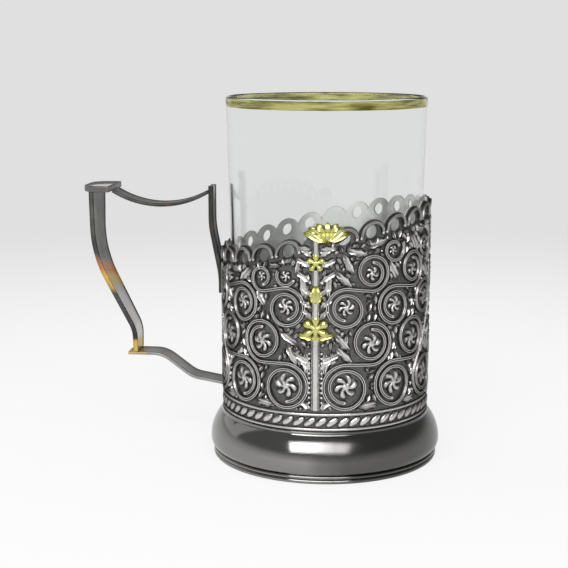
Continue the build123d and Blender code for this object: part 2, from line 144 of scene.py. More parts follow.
class HolderColours(bpy.types.PropertyGroup):
    """Colours of the finishes"""

    bright_silver: colour("Bright silver", "Silver where it is rubbed", (0.66, 0.65, 0.63))
    tarnish: colour("Tarnish", "Silver in the hollows", (0.095, 0.094, 0.092))
    lining: colour("Lining", "Plain silver inside the sleeve", (0.58, 0.577, 0.57))
    # Painted shade: the lining's colour towards its sides
    shaded_lining: colour("Old lining", "Silver inside the sleeve towards its sides", (0.26, 0.257, 0.25))
    foot_silver: colour("Foot silver", "Polished silver of the foot", (0.275, 0.271, 0.265))
    # Tarnished silver of the foot, also used as painted shade on its side away from the handle
    tarnished_and_shaded_foot: colour("Old foot", "Silver of the foot where it has darkened", (0.125, 0.123, 0.12))
    # Dull silver, used as painted shade and random smudges on the handle
    dull_and_shaded_silver: colour("Dull silver", "Silver where it has darkened", (0.055, 0.054, 0.053))
    worn_brass: colour("Worn brass", "Brass showing through worn silver", (0.66, 0.46, 0.13))
    worn_copper: colour("Worn copper", "Copper showing through worn silver", (0.55, 0.24, 0.09))
    gilding: colour("Gilding", "Gold of the sprays and the rim band", (0.62, 0.60, 0.23))
    old_gilding: colour("Old gilding", "Gold where it is dulled", (0.145, 0.135, 0.03))
    glass: colour("Glass", "Tint of the glass", (0.975, 0.985, 0.98))
    floor: colour("Floor", "Table under the holder", (0.96, 0.96, 0.96))
    wall: colour("Wall", "Background behind the table", (0.745, 0.745, 0.745))
    ceiling: colour("Ceiling", "Dim room over the table", (0.20, 0.20, 0.20))


class HolderStage(bpy.types.PropertyGroup):
    """Camera and light"""

    camera_distance: length("Camera distance", "Level distance from the holder's axis", 436.5 * MM)
    camera_height: length("Camera height", "Height above the table", 139.1 * MM)
    camera_azimuth: angle("Camera azimuth", "Turn round the holder from its front", 5.0)
    camera_pitch: angle("Camera pitch", "Tilt below level", 10.5)
    camera_yaw: angle("Camera yaw", "Aim to the left of the holder's axis", 1.85)
    field_of_view: angle("Field of view", "Angle that the picture's side covers", 24.57)
    ambient: number("Ambient", "Light from all round", 0.46)
    floor_glow: number("Floor glow", "Share of plain white in the table", 0.80)
    key_power: number("Key light", "Power of the main lamp", 5.8, "POWER")
    side_power: number("Side light", "Power of the side lamp", 1.0, "POWER")


def maths(operation, reflected=False):
    """A Python operator that adds a Math node"""

    def apply(field, other):
        first, second = (other, field) if reflected else (field, other)
        return field.paint.math(operation, first, second)

    return apply


class Field:
    """A shader socket that takes part in Python expressions"""

    __add__ = maths("ADD")
    __radd__ = maths("ADD", reflected=True)
    __sub__ = maths("SUBTRACT")
    __rsub__ = maths("SUBTRACT", reflected=True)
    __mul__ = maths("MULTIPLY")
    __rmul__ = maths("MULTIPLY", reflected=True)
    __truediv__ = maths("DIVIDE")

    def __init__(self, paint, socket):
        self.paint = paint
        self.socket = socket

    def clamp(self):
        return self.paint.node("ShaderNodeClamp", {}, {"Value": self})


class Paint:
    """Builds the nodes of one finish, or of the world"""

    def __init__(self, owner):
        owner.use_nodes = True
        self.tree = owner.node_tree
        self.tree.nodes.clear()

    def node(self, kind, settings, sockets, output=0):
        made = self.tree.nodes.new(kind)
        for key, value in settings.items():
            setattr(made, key, value)
        for key, value in sockets.items():
            if isinstance(value, Field):
                self.tree.links.new(value.socket, made.inputs[key])
            elif made.inputs[key].type == "RGBA":
                made.inputs[key].default_value = (*value[:3], 1)
            else:
                made.inputs[key].default_value = value
        return Field(self, made.outputs[output]) if made.outputs else None

    def math(self, operation, first, second):
        return self.node("ShaderNodeMath", {"operation": operation}, {0: first, 1: second})

    def mix(self, factor, first, second):
        return self.node("ShaderNodeMix", {"data_type": "RGBA"}, {0: factor, 6: first, 7: second}, 2)

    def place(self):
        return self.node("ShaderNodeTexCoord", {}, {}, "Object")

    def part_of_place(self, axis):
        return self.node("ShaderNodeSeparateXYZ", {}, {0: self.place()}, axis)

    def squeezed_place(self, shares):
        return self.node("ShaderNodeVectorMath", {"operation": "MULTIPLY"}, {0: self.place(), 1: shares})

    def off_axis(self):
        level_place = self.squeezed_place((1.0, 1.0, 0.0))
        return self.node("ShaderNodeVectorMath", {"operation": "LENGTH"}, {0: level_place}, "Value")

    def noise(self, scale, detail, squeeze=(1.0, 1.0, 1.0)):
        sockets = {"Vector": self.squeezed_place(squeeze), "Scale": scale, "Detail": detail}
        return self.node("ShaderNodeTexNoise", {}, sockets)

    def attribute(self, name):
        return self.node("ShaderNodeAttribute", {"attribute_name": name}, {}, "Fac")

    def bump(self, height, strength, distance):
        return self.node(
            "ShaderNodeBump", {}, {"Height": height, "Strength": strength, "Distance": distance}
        )

    def shown(self, straight=1.0, mirrored=1.0):
        """How much of a background shows to the camera, in metal and through glass, and in no other light"""
        kinds = ("Is Camera Ray", "Is Glossy Ray", "Is Transmission Ray")
        camera, glossy, through = [self.node("ShaderNodeLightPath", {}, {}, kind) for kind in kinds]
        indirect = self.math("MAXIMUM", glossy * mirrored, through * straight)
        return self.math("MAXIMUM", camera * straight, indirect)

    def blend(self, factor, first, second):
        return self.node("ShaderNodeMixShader", {}, {0: factor, 1: first, 2: second})

    def surface(self, sockets):
        self.output(self.node("ShaderNodeBsdfPrincipled", {}, sockets))

    def output(self, shader, kind="ShaderNodeOutputMaterial"):
        self.node(kind, {}, {"Surface": shader})


def sizes():
    return bpy.context.scene.holder_sizes


def colours():
    return bpy.context.scene.holder_colours


def once(build):
    """Keeps a finish, so that pieces share it"""

    made = []

    def kept():
        if not made:
            made.append(bpy.data.materials.new(f"{build.__name__}_finish"))
            build(Paint(made[0]))
        return made[0]

    return kept


def rubbed_height(paint, rise):
    """How far a point stands above the sleeve, from 0 at its skin to 1 at the crown of the relief"""
    return ((paint.off_axis() - relief_base()) / rise).clamp()


def beyond(across, half, fade):
    """How far a point lies past a half width on either side, growing with the square of the distance"""
    return (across * across - half**2) / fade**2


def rubbed_and_side_shaded_silver(paint, rise):
    """Silver that is bright on its crowns and dark in its hollows, with painted shade that dulls it at the
    narrow sides
    """
    c = colours()
    grime = paint.noise(420.0, 4.0)
    scratches = paint.noise(2600.0, 2.0)
    # beside is painted shade: it darkens the crowns towards both narrow sides
    beside = beyond(paint.part_of_place("X"), 24 * MM, 25 * MM).clamp()
    crowns = (rubbed_height(paint, rise) * 2.4 - 1.25 + (grime - 0.5) * 1.1).clamp()
    rubbed_and_side_lit = crowns * (1 - beside * 0.5)
    paint.surface(
        {
            "Base Color": paint.mix(rubbed_and_side_lit, c.tarnish, c.bright_silver),
            "Metallic": 1.0,
            "Specular Tint": EDGE_TINT,
            "Roughness": 0.5 - rubbed_and_side_lit * 0.27 + (scratches - 0.5) * 0.12,
            "Normal": paint.bump(scratches + grime, 0.3, 0.14 * MM),
        }
    )


@once
def relief_silver(paint):
    rubbed_and_side_shaded_silver(paint, sizes().relief_rise)


@once
def leaf_silver(paint):
    rubbed_and_side_shaded_silver(paint, 0.74 * sizes().relief_rise)


@once
def border_silver(paint):
    rubbed_and_side_shaded_silver(paint, 0.64 * sizes().relief_rise)


@once
def sleeve_ground(paint):
    c = colours()
    within_wall = SLEEVE_RADIUS - sizes().sleeve_wall * 0.6
    outer = ((paint.off_axis() - within_wall) / (0.2 * MM)).clamp()
    grime = paint.noise(300.0, 4.0)
    punches = paint.node(
        "ShaderNodeTexVoronoi", {"feature": "F1"}, {"Vector": paint.place(), "Scale": 1300.0}, "Distance"
    )
    ground = paint.mix((punches * 0.4 + grime * 0.25 - 0.11).clamp(), c.tarnish, c.foot_silver)
    # Painted light and shade on the lining: brightest near the middle, darker towards the sides with some
    # noise, and kept light on the far +X side
    across = paint.part_of_place("X") - LINING_LIGHT_MIDDLE
    aside = (beyond(across, 9 * MM, 14 * MM) + (grime - 0.5) * 0.7).clamp()
    lit_far_side = ((across - 18 * MM) / (6 * MM)).clamp()
    lining = paint.mix(aside * (1 - lit_far_side * 0.7), c.lining, c.shaded_lining)
    paint.surface(
        {
            "Base Color": paint.mix(outer, lining, ground),
            "Metallic": 0.2 + outer * 0.8,
            "Specular Tint": EDGE_TINT,
            "Roughness": 0.5 + outer * 0.02 + (grime - 0.5) * 0.15,
            "Normal": paint.bump(punches * outer + grime * 0.2, 0.6, 0.25 * MM),
        }
    )


@once
def polished_foot(paint):
    c = colours()
    turning = paint.node(
        "ShaderNodeTexWave",
        {"wave_type": "BANDS", "bands_direction": "Z"},
        {"Vector": paint.place(), "Scale": 900.0, "Distortion": 1.5, "Detail": 2.0},
    )
    smudges = paint.noise(38.0, 5.0)
    spots = paint.noise(900.0, 2.0)
    # Random smudges of tarnish, plus painted shade that darkens the foot towards +X, away from the handle
    smudges_and_side_shade = ((smudges - 0.5) * 3.0 + paint.part_of_place("X") / FOOT_SHADE_RUN + 0.3).clamp()
    paint.surface(
        {
            "Base Color": paint.mix(smudges_and_side_shade, c.foot_silver, c.tarnished_and_shaded_foot),
            "Metallic": 1.0,
            "Roughness": 0.1 + smudges_and_side_shade * 0.08 + (spots - 0.5) * 0.06,
            "Normal": paint.bump(turning + spots * 0.6, 0.08, 0.05 * MM),
        }
    )


def worn_patch(level, outward, middle, reach, start, fade):
    """1 at a height up the handle, fading to 0 at some reach from it, on its side away from the sleeve"""
    apart = (level - middle) / reach
    return (1 - apart * apart).clamp() * ((outward - start) / fade).clamp()


@once
def handle_silver(paint):
    c = colours()
    # The shade attribute is painted shade on the straps' rims and panels; the smudges add random dirt to it
    shade = paint.attribute("shade")
    smudges = paint.noise(110.0, 4.0)
    spots = paint.noise(1500.0, 3.0)
    dark = (shade + (smudges - 0.5) * 0.5).clamp()
    polish = (shade * -1).clamp()
    drift = (paint.noise(48.0, 3.0) - 0.5) * PATCH_DRIFT
    level = paint.part_of_place("Z") + drift
    outward = paint.part_of_place("X") * -1
    palm = worn_patch(level, outward, *PALM_PATCH)
    knee = worn_patch(level, outward, *KNEE_PATCH)
    warm = ((palm + knee) * 1.5 - 0.25 + (smudges - 0.5) * 1.6).clamp()
    redness = ((level - COPPER_START) / COPPER_FADE).clamp()
    silver = paint.mix(dark, c.bright_silver, c.dull_and_shaded_silver)
    bare_metal = paint.mix(redness, c.worn_brass, c.worn_copper)
    paint.surface(
        {
            "Base Color": paint.mix(warm, silver, bare_metal),
            "Metallic": 1.0,
            "Roughness": 0.32 + dark * 0.1 - polish * 0.22 + (spots - 0.5) * 0.12,
            "Normal": paint.bump(spots + smudges, 0.15, 0.08 * MM),
        }
    )


@once
def gilding(paint):
    c = colours()
    gilt = paint.attribute("gilt")
    wear = paint.noise(350.0, 4.0)
    raised = (rubbed_height(paint, 0.75 * sizes().relief_rise) * 1.8 - 0.75 + (wear - 0.5) * 1.0).clamp()
    gold = paint.mix(raised, c.old_gilding, c.gilding)
    silver = paint.mix(raised, c.tarnish, c.bright_silver)
    paint.surface(
        {
            "Base Color": paint.mix(gilt, silver, gold),
            "Metallic": 1.0,
            "Roughness": 0.46 - raised * 0.22,
            "Normal": paint.bump(wear, 0.25, 0.12 * MM),
        }
    )


@once
def rim_gilding(paint):
    c = colours()
    wear = paint.noise(210.0, 4.0, (0.4, 0.4, 3.2))
    brush = paint.noise(1800.0, 2.0)
    worn = ((wear - 0.41) * 4.5).clamp()
    paint.surface(
        {
            "Base Color": paint.mix(worn, c.gilding, c.old_gilding),
            "Metallic": 1.0,
            "Roughness": 0.24 + worn * 0.15 + (brush - 0.5) * 0.1,
            "Normal": paint.bump(brush, 0.08, 0.05 * MM),
        }
    )


@once
def clear_glass(paint):
    ripple = paint.noise(60.0, 2.0)
    haze = paint.noise(240.0, 3.0)
    glass = paint.node(
        "ShaderNodeBsdfPrincipled",
        {},
        {
            "Base Color": colours().glass,
            "Metallic": 0.0,
            "Roughness": (haze - 0.5).clamp() * 0.04,
            "IOR": 1.47,
            "Transmission Weight": 1.0,
            "Normal": paint.bump(ripple, 0.03, 0.3 * MM),
        },
    )
    clear = paint.node("ShaderNodeBsdfTransparent", {}, {"Color": colours().glass})
    shadow = paint.node("ShaderNodeLightPath", {}, {}, "Is Shadow Ray")
    paint.output(paint.blend(shadow, glass, clear))


def crest_height(degrees):
    s = sizes()
    middle = SLEEVE_HIGH.z - s.scallop_radius - s.crest_rise
    return middle + s.crest_rise * math.sin(math.radians(degrees))


def angle_apart(first, second):
    return abs((first - second + 180) % 360 - 180)


def relief_base():
    return SLEEVE_RADIUS + sizes().solder_gap


def relief_middle():
    return relief_base() + sizes().relief_rise / 2


def span_of(degrees):
    return math.radians(degrees) * relief_middle()


def wrap(verts, degrees):
    """Bends flat work, drawn as across, up and out, round the sleeve"""
    for vert in verts:
        turn = math.radians(degrees) + vert.co.x / relief_middle()
        radius = relief_base() + vert.co.z
        vert.co = (radius * math.sin(turn), -radius * math.cos(turn), vert.co.y)


def polar(center, radius, degrees):
    turn = math.radians(degrees)
    return (center[0] + radius * math.cos(turn), center[1] + radius * math.sin(turn))


def flat(point):
    return Vector((point[0], point[1], 0))


def upright(point):
    return Vector((point[0], 0, point[1]))


def chain(bm, points):
    """An open line of edges through a few points"""
    verts = [bm.verts.new(point) for point in points]
    edges = [bm.edges.new(pair) for pair in zip(verts, verts[1:])]
    return verts + edges


def verts_in(geom):
    return [part for part in geom if isinstance(part, bmesh.types.BMVert)]


def close_seams(bm):
    """Joins doubled points and turns the faces outwards"""
    bmesh.ops.remove_doubles(bm, verts=bm.verts, dist=0.002 * MM)
    bmesh.ops.recalc_face_normals(bm, faces=bm.faces)


def run_along(bm, geom, path, axis, place):
    """Carries an outline along straight runs and arcs, and returns its last copy"""
    for kind, where, amount, steps in path:
        center = place(where) if kind == "arc" else Vector()
        move = place(where) / steps if kind == "line" else Vector()
        turn = math.radians(amount) if kind == "arc" else 0.0
        made = bmesh.ops.spin(
            bm, geom=geom, cent=center, axis=axis, dvec=move, angle=turn, steps=steps, use_duplicate=False
        )
        geom = made["geom_last"]
    return geom


def rounded_path(points, radii, steps=10):
    """Straight runs joined by arcs, as steps for run_along"""
    path = []
    here = Vector(points[0])
    for corner, after, radius in zip(points[1:-1], points[2:], radii):
        corner = Vector(corner)
        heading = (corner - here).normalized()
        leaving = (Vector(after) - corner).normalized()
        turn = heading.angle_signed(leaving) * -1
        reach = radius * math.tan(abs(turn) / 2)
        touch = corner - heading * reach
        side = Vector((-heading.y, heading.x)) * math.copysign(radius, turn)
        path.append(("line", touch - here, 0, 2))
        path.append(("arc", touch + side, math.degrees(turn), steps))
        here = corner + leaving * reach
    path.append(("line", Vector(points[-1]) - here, 0, 2))
    return path


def lathe(bm, start, path, steps=160):
    """Turns a profile, drawn as radius and height, into a round body"""
    first = bm.verts.new(upright(start))
    run_along(bm, [first], path, (0, -1, 0), upright)
    geom = list(bm.verts) + list(bm.edges)
    bmesh.ops.spin(
        bm, geom=geom, axis=(0, 0, 1), angle=math.tau, steps=steps, use_merge=True, use_duplicate=False
    )
    close_seams(bm)


def line(dx, dy, steps=1):
    return ("line", (dx, dy), 0, steps)


def arc(center, degrees, steps=10):
    return ("arc", center, degrees, steps)


def add_object(name, data):
    added = bpy.data.objects.new(name, data)
    bpy.context.scene.collection.objects.link(added)
    return added


def as_mesh(name, bm):
    mesh = bpy.data.meshes.new(name)
    bm.to_mesh(mesh)
    bm.free()
    return mesh


def make_piece(name, bm, material, body, node, sharp=32.0):
    """Turns a bmesh into a finished object that rides on a body"""
    mesh = as_mesh(name, bm)
    mesh.shade_smooth()
    mesh.set_sharp_from_angle(angle=math.radians(sharp))
    mesh.materials.append(material)
    piece = add_object(name, mesh)
    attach(piece, body)
    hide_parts(node)
    return piece


def sheets_of(bm):
    """The separate parts of a mesh, as lists of faces"""
    left = set(bm.faces)
    for first in bm.faces:
        if first in left:
            left.remove(first)
            sheet = [first]
            for face in sheet:
                beside = {other for edge in face.edges for other in edge.link_faces} & left
                left -= beside
                sheet += beside
            yield sheet


def face_outwards(bm):
    """Turns closed parts of flat work right way out, and open ones, such as leaves, away from the sleeve"""
    bmesh.ops.recalc_face_normals(bm, faces=bm.faces)
    for sheet in sheets_of(bm):
        is_open = any(edge.is_boundary for face in sheet for edge in face.edges)
        if is_open and sum(face.normal.z * face.calc_area() for face in sheet) < 0:
            bmesh.ops.reverse_faces(bm, faces=sheet)


def make_ornament(name, bm, material, node, degrees=0.0):
    """Bends flat work round the sleeve and makes it a piece of the holder"""
    face_outwards(bm)
    wrap(bm.verts, degrees)
    make_piece(name, bm, material, "holder", node, sharp=60.0)


def add_apart(bm, build, *values):
    """Builds in a small mesh of its own, where operators run quickly, and joins it on"""
    small = bmesh.new()
    build(small, *values)
    mesh = as_mesh("joining", small)
    bm.from_mesh(mesh)
    bpy.data.meshes.remove(mesh)


def soften(piece, width):
    """Rounds the sharp edges of a piece"""
    bevel = piece.modifiers.new("Rounded edges", "BEVEL")
    bevel.width = width
    bevel.segments = 2
    bevel.limit_method = "ANGLE"
    bevel.angle_limit = math.radians(40.0)


# Radius of the scrolls in each row from the border up, and of those that fit where these don't
SCROLL_RADII = [radius * MM for radius in (7.9, 7.4, 6.7, 6.2, 4.4)]
SMALL_SCROLL_RADII = [radius * MM for radius in (4.4, 3.6)]

# A longer leaf than this gets more rows of faces
LONG_LEAF = 4 * MM


def field_bottom():
    return UPPER_WIRE_HIGH.z + sizes().ornament_gap


def column_angles(row):
    """Angles of the scrolls of a row, alike in each quarter, with every second row set in the gaps"""
    s = sizes()
    quarter = []
    front = s.column_first + (row % 2) * s.column_pitch / 2
    while front + s.column_pitch / 2 <= 90:
        quarter.append(front)
        front += s.column_pitch
    angles = []
    for front in quarter:
        angles += [front, 180 - front, -front, front - 180]
    if row % 2:
        angles.append(90)
    return [round(degrees, 3) for degrees in angles]


def resting_height(placed, row, degrees, radius):
    """How low a scroll can lie on those of the row below, or 0 where nothing carries it"""
    height = field_bottom() + radius if row == 0 else 0.0
    for (other_row, other), (low, size) in placed.items():
        across = span_of(angle_apart(degrees, other))
        reach = radius + size + sizes().ornament_gap
        if row == other_row + 1 and across < reach:
            height = max(height, low + math.sqrt(reach**2 - across**2))
    return height


def place_scrolls():
    """Stacks rows of scrolls from the border up to the sloping edge"""
    placed = {}
    gap = sizes().ornament_gap
    for row, full in enumerate(SCROLL_RADII):
        smaller = [radius for radius in SMALL_SCROLL_RADII if row > 1 and radius < full]
        for degrees in column_angles(row):
            for radius in [full] + smaller:
                height = resting_height(placed, row, degrees, radius)
                if 0 < height <= crest_height(degrees) - radius - 1.5 * gap:
                    placed[(row, degrees)] = (height, radius)
                    break
    return placed


def link_partner(placed, row, degrees):
    """The scroll that shares a wire with this one: beside it one row up or, in the lowest row, above it"""
    if row % 2:
        return None
    front = 90 - abs(90 - abs(degrees)) + sizes().column_pitch / 2
    turned = front if abs(degrees) < 90 else 180 - front
    beside = (row + 1, round(math.copysign(turned, degrees), 3))
    above = (row + 2, degrees)
    if beside in placed:
        return beside
    return above if row == 0 and above in placed else None


def half_turns_for(radius):
    s = sizes()
    turns = 3
    while turns > 1 and radius - turns * s.scroll_step < s.scroll_step + s.wire_width:
        turns -= 1
    return turns


def spiral(center, radius, start, sense):
    """Half circles that wind in, and the middle and room of the eye they leave"""
    s = sizes()
    arcs = []
    for _ in range(half_turns_for(radius + s.wire_width / 2)):
        arcs.append((center, radius, start, sense * 180.0))
        eye = (center, radius - s.wire_width / 2)
        start += sense * 180.0
        center = polar(center, s.scroll_step, start)
        radius -= s.scroll_step
    return arcs, eye


def plan_scrolls(placed):
    """Lists each wire as its arcs and straight run, and the eyes for the blossoms"""
    s = sizes()
    wires = []
    eyes = []
    linked = {key: link_partner(placed, *key) for key in placed}
    linked = {key: partner for key, partner in linked.items() if partner}
    taken = set(linked.values())
    for key, (height, radius) in placed.items():
        if key in taken:
            continue
        degrees = key[1]
        sense = 1 if math.sin(math.radians(2 * degrees)) >= 0 else -1
        line_radius = radius - s.wire_width / 2
        center = (span_of(degrees), height)
        if key not in linked:
            arcs, eye = spiral(center, line_radius, 90 - 60 * sense, -sense)
            wires.append(([], None, arcs))
            eyes.append(eye)
            continue
        other_height, other_radius = placed[linked[key]]
        other_line = other_radius - s.wire_width / 2
        partner = (span_of(linked[key][1]), other_height)
        toward = math.degrees(math.atan2(partner[1] - center[1], partner[0] - center[0]))
        lean = math.degrees(math.acos((line_radius + other_line) / math.dist(center, partner)))
        touch = toward + sense * lean
        straight = (polar(center, line_radius, touch), polar(partner, -other_line, touch))
        first, first_eye = spiral(center, line_radius, touch, sense)
        second, second_eye = spiral(partner, other_line, touch + 180, sense)
        wires.append((first, straight, second))
        eyes += [first_eye, second_eye]
    return wires, eyes


def wire_profile(width, rise):
    """Half-round section with a groove along its crown"""
    half = [(0.5, 0.0), (0.46, 0.55), (0.32, 0.97), (0.15, 0.97), (0.0, 0.5)]
    section = [(-across, up) for across, up in half] + half[-2::-1]
    return [(across * width, up * rise) for across, up in section]


def add_wire(bm, lead_in, straight, lead_out, rise):
    """Sweeps a wire from one eye to the other, with a bead where it ends in an eye"""
    width = sizes().wire_width
    steps = 20
    path = [arc(center, -sweep, steps) for center, _, _, sweep in reversed(lead_in)]
    if straight:
        path.append(line(*(Vector(straight[1]) - Vector(straight[0])), 3))
    path += [arc(center, sweep, steps) for center, _, _, sweep in lead_out]
    if lead_in:
        center, radius, start, sweep = lead_in[-1]
        start += sweep
    else:
        center, radius, start, _ = lead_out[0]
    outward = Vector(polar((0, 0), 1, start))
    begin = Vector(polar(center, radius, start))
    points = [(*(begin + outward * across), up) for across, up in wire_profile(width, rise)]
    last = verts_in(run_along(bm, chain(bm, points), path, (0, 0, 1), flat))
    end = sum((vert.co.xy for vert in last), Vector((0, 0))) / len(last)
    for eye in (begin, end) if lead_in else (end,):
        add_bead(bm, eye, 0.62 * width, rise)


def add_bead(bm, center, radius, rise, segments=10, rings=6):
    """A round bead with a flat back"""
    made = bmesh.ops.create_uvsphere(bm, u_segments=segments, v_segments=rings, radius=radius)
    for vert in made["verts"]:
        vert.co = (vert.co.x + center[0], vert.co.y + center[1], max(vert.co.z, 0) / radius * rise)


def along_leaf(start, tip, curl, part):
    """A point on the midrib of a leaf that bends to one side"""
    run = Vector(tip) - Vector(start)
    aside = Vector((-run.y, run.x)) * (curl * math.sin(math.pi * part / 2) ** 2)
    return Vector(start) + run * part + aside


def add_leaf(bm, start, tip, width, rise, curl=0.0, lobes=3.0):
    """A veined leaf with a wavy edge, lying flat from start to tip"""
    rows = 9 if math.dist(start, tip) > LONG_LEAF else 5
    fullness = 0.8
    scallop = 0.22 if lobes else 0.0
    vein, swell = 0.55, 1.3
    nearby = 0.02
    made = bmesh.ops.create_grid(bm, x_segments=4, y_segments=rows, size=0.5)
    for vert in made["verts"]:
        part = vert.co.y + 0.5
        side = 2 * vert.co.x
        wave = 1 + scallop * math.cos(math.tau * lobes * part)
        half = width / 2 * math.sin(math.pi * part**fullness) ** fullness * wave if 0 < part < 1 else 0.0
        ahead = along_leaf(start, tip, curl, part + nearby) - along_leaf(start, tip, curl, part - nearby)
        across = Vector((-ahead.y, ahead.x)).normalized()
        crown = (1 - side**2) * (vein if abs(side) < 0.1 else swell)
        place = along_leaf(start, tip, curl, part) + across * half * side
        vert.co = (place.x, place.y, rise * crown * math.sin(math.pi * min(part + 0.12, 1)) ** 0.6)
    return made["verts"]


def add_blossom(bm, center, radius, rise, petals=6, turn=90.0, twist=0.0):
    """A round flower with ridged petals, which may swirl, and a boss"""
    boss = 0.3
    notch = 0.26
    made = bmesh.ops.create_grid(bm, x_segments=6 * petals, y_segments=7, size=0.5)
    for vert in made["verts"]:
        theta = math.tau * (vert.co.x + 0.5)
        reach = vert.co.y + 0.5
        petal = abs(math.cos(petals * theta / 2))
        edge = radius * (1 - notch + notch * petal**0.7)
        if reach < boss:
            up = 0.7 + 0.35 * math.sqrt(max(1 - (reach / boss) ** 2, 0))
        else:
            outward = (reach - boss) / (1 - boss)
            up = (0.15 + 0.9 * petal) * math.sin(math.pi * (0.12 + 0.88 * outward)) ** 0.5
        place = polar(center, edge * reach, math.degrees(theta) + turn + twist * reach)
        vert.co = (*place, rise * max(up, 0) if reach < 0.99 else 0.0)
    verts = made["verts"]
    bmesh.ops.remove_doubles(bm, verts=verts, dist=0.01 * MM)
    return [vert for vert in verts if vert.is_valid]


class HolderOperator:
    """What every step of the build shares"""

    bl_options = {"REGISTER", "UNDO"}

    def execute(self, context):
        self.build()
        return {"FINISHED"}


class HOLDER_OT_sleeve(HolderOperator, bpy.types.Operator):
    """Makes the scalloped shell that carries the scrollwork"""

    bl_idname = "holder.sleeve"
    bl_label = "Sleeve"

    def build(self):
        s = sizes()
        pitch = math.tau / s.scallop_count
        half = SLEEVE_RADIUS * pitch / 2
        bm = bmesh.new()
        for index in range(s.scallop_count):
            degrees = math.degrees(pitch) * index
            plain = min(angle_apart(degrees, fixed) for fixed in FRONT_AND_BACK) < 1
            self.add_lobe(bm, degrees, half, plain)
        bmesh.ops.remove_doubles(bm, verts=bm.verts, dist=0.02 * MM)
        open_edges = [edge for edge in bm.edges if edge.is_boundary]
        hem = [edge for edge in open_edges if all(self.below_lobe(vert, half) for vert in edge.verts)]
        wall = bmesh.ops.extrude_edge_only(bm, edges=hem)
        for vert in verts_in(wall["geom"]):
            vert.co.z = SLEEVE_LOW.z
        bmesh.ops.recalc_face_normals(bm, faces=bm.faces)
        bmesh.ops.solidify(bm, geom=bm.faces[:], thickness=s.sleeve_wall)
        make_piece("sleeve_shell", bm, sleeve_ground(), "holder", "sleeve")

    def lift(self):
        """How far a lobe's hole stands above the sloping line of the edge"""
        return 0.2 * sizes().scallop_radius

    def below_lobe(self, vert, half):
        degrees = math.degrees(math.atan2(vert.co.x, -vert.co.y))
        return vert.co.z < crest_height(degrees) + self.lift() - 0.98 * half

    def add_lobe(self, bm, degrees, half, plain):
        """One scallop round its hole, with square lower corners that meet its neighbours"""
        s = sizes()
        lift = self.lift()
        made = bmesh.ops.create_circle(bm, segments=24, radius=s.scallop_hole, cap_ends=plain)
        inner = made["verts"]
        rim = [edge for edge in bm.edges if edge.verts[0] in inner and edge.verts[1] in inner]
        ring = bmesh.ops.extrude_edge_only(bm, edges=rim)
        outer = verts_in(ring["geom"])
        for vert in outer:
            across, up = vert.co.xy.normalized()
            reach = half / max(abs(across), -up, 0.01)
            if up > 0:
                reach = min(reach, math.sqrt(s.scallop_radius**2 - (lift * across) ** 2) - lift * up)
            vert.co.xy = (across * reach, up * reach)
        for vert in inner + outer:
            turn = math.radians(degrees) + vert.co.x / SLEEVE_RADIUS
            height = crest_height(math.degrees(turn)) + vert.co.y + lift
            vert.co = (SLEEVE_RADIUS * math.sin(turn), -SLEEVE_RADIUS * math.cos(turn), height)


# An arch of the crest: width of its wire, radius and height of its beads, and foot, tip and width of a leaf
ARCH_WIDTH = 1.0 * MM
ARCH_BEAD = 0.75 * MM
ARCH_BEAD_HEIGHT = -0.2 * MM
ARCH_LEAF = ((0.5 * MM, -3.6 * MM), (2.6 * MM, -0.9 * MM), 1.7 * MM)


class HOLDER_OT_crest(HolderOperator, bpy.types.Operator):
    """Makes the raised arches on the scallops of the top edge"""

    bl_idname = "holder.crest"
    bl_label = "Crest"

    def build(self):
        s = sizes()
        pitch = 360 / s.scallop_count
        radius = min(span_of(pitch) / 2 - s.ornament_gap / 3, s.scallop_radius) - ARCH_WIDTH / 2
        bm = bmesh.new()
        for index in range(s.scallop_count):
            degrees = pitch * index
            if min(angle_apart(degrees, fixed) for fixed in (*FRONT_AND_BACK, HANDLE_ANGLE)) > pitch / 2:
                add_apart(bm, self.add_arch, span_of(degrees), radius)
        for vert in bm.verts:
            vert.co.y += crest_height(math.degrees(vert.co.x / relief_middle()))
        make_ornament("crest_arches", bm, relief_silver(), "crest_petals")

    def add_arch(self, bm, x, radius):
        """A bent wire with a bead at each end and two small leaves under it"""
        rise = sizes().relief_rise
        points = [(x + radius + across, 0, up) for across, up in wire_profile(ARCH_WIDTH, rise)]
        run_along(bm, chain(bm, points), [arc((x, 0), 180.0, 14)], (0, 0, 1), flat)
        *ends, width = ARCH_LEAF
        for side in (-1, 1):
            add_bead(bm, (x + side * radius, ARCH_BEAD_HEIGHT), ARCH_BEAD, rise)
            foot, tip = [(x + side * across, up) for across, up in ends]
            add_leaf(bm, foot, tip, width, rise, 0.2 * side)


class HOLDER_OT_scrolls(HolderOperator, bpy.types.Operator):
    """Makes the wound wires of the scrollwork"""

    bl_idname = "holder.scrolls"
    bl_label = "Scrolls"

    def build(self):
        bm = bmesh.new()
        wires, _ = plan_scrolls(place_scrolls())
        for lead_in, straight, lead_out in wires:
            add_apart(bm, add_wire, lead_in, straight, lead_out, sizes().relief_rise)
        make_ornament("scroll_work", bm, relief_silver(), "scroll_wires")


# Blossoms above this radius have a petal more, and all swirl by so many degrees
LARGE_BLOSSOM = 3 * MM
SWIRL = 50.0


class HOLDER_OT_blossoms(HolderOperator, bpy.types.Operator):
    """Makes the blossoms in the eyes of the scrolls"""

    bl_idname = "holder.blossoms"
    bl_label = "Blossoms"

    def build(self):
        bm = bmesh.new()
        _, eyes = plan_scrolls(place_scrolls())
        for center, room in eyes:
            radius = room - 0.5 * sizes().ornament_gap
            petals = 6 if radius > LARGE_BLOSSOM else 5
            twist = math.copysign(SWIRL, math.sin(2 * center[0] / relief_middle()))
            add_apart(bm, add_blossom, center, radius, sizes().relief_rise, petals, 90.0, twist)
        make_ornament("scroll_blossoms", bm, relief_silver(), "scroll_rosettes")


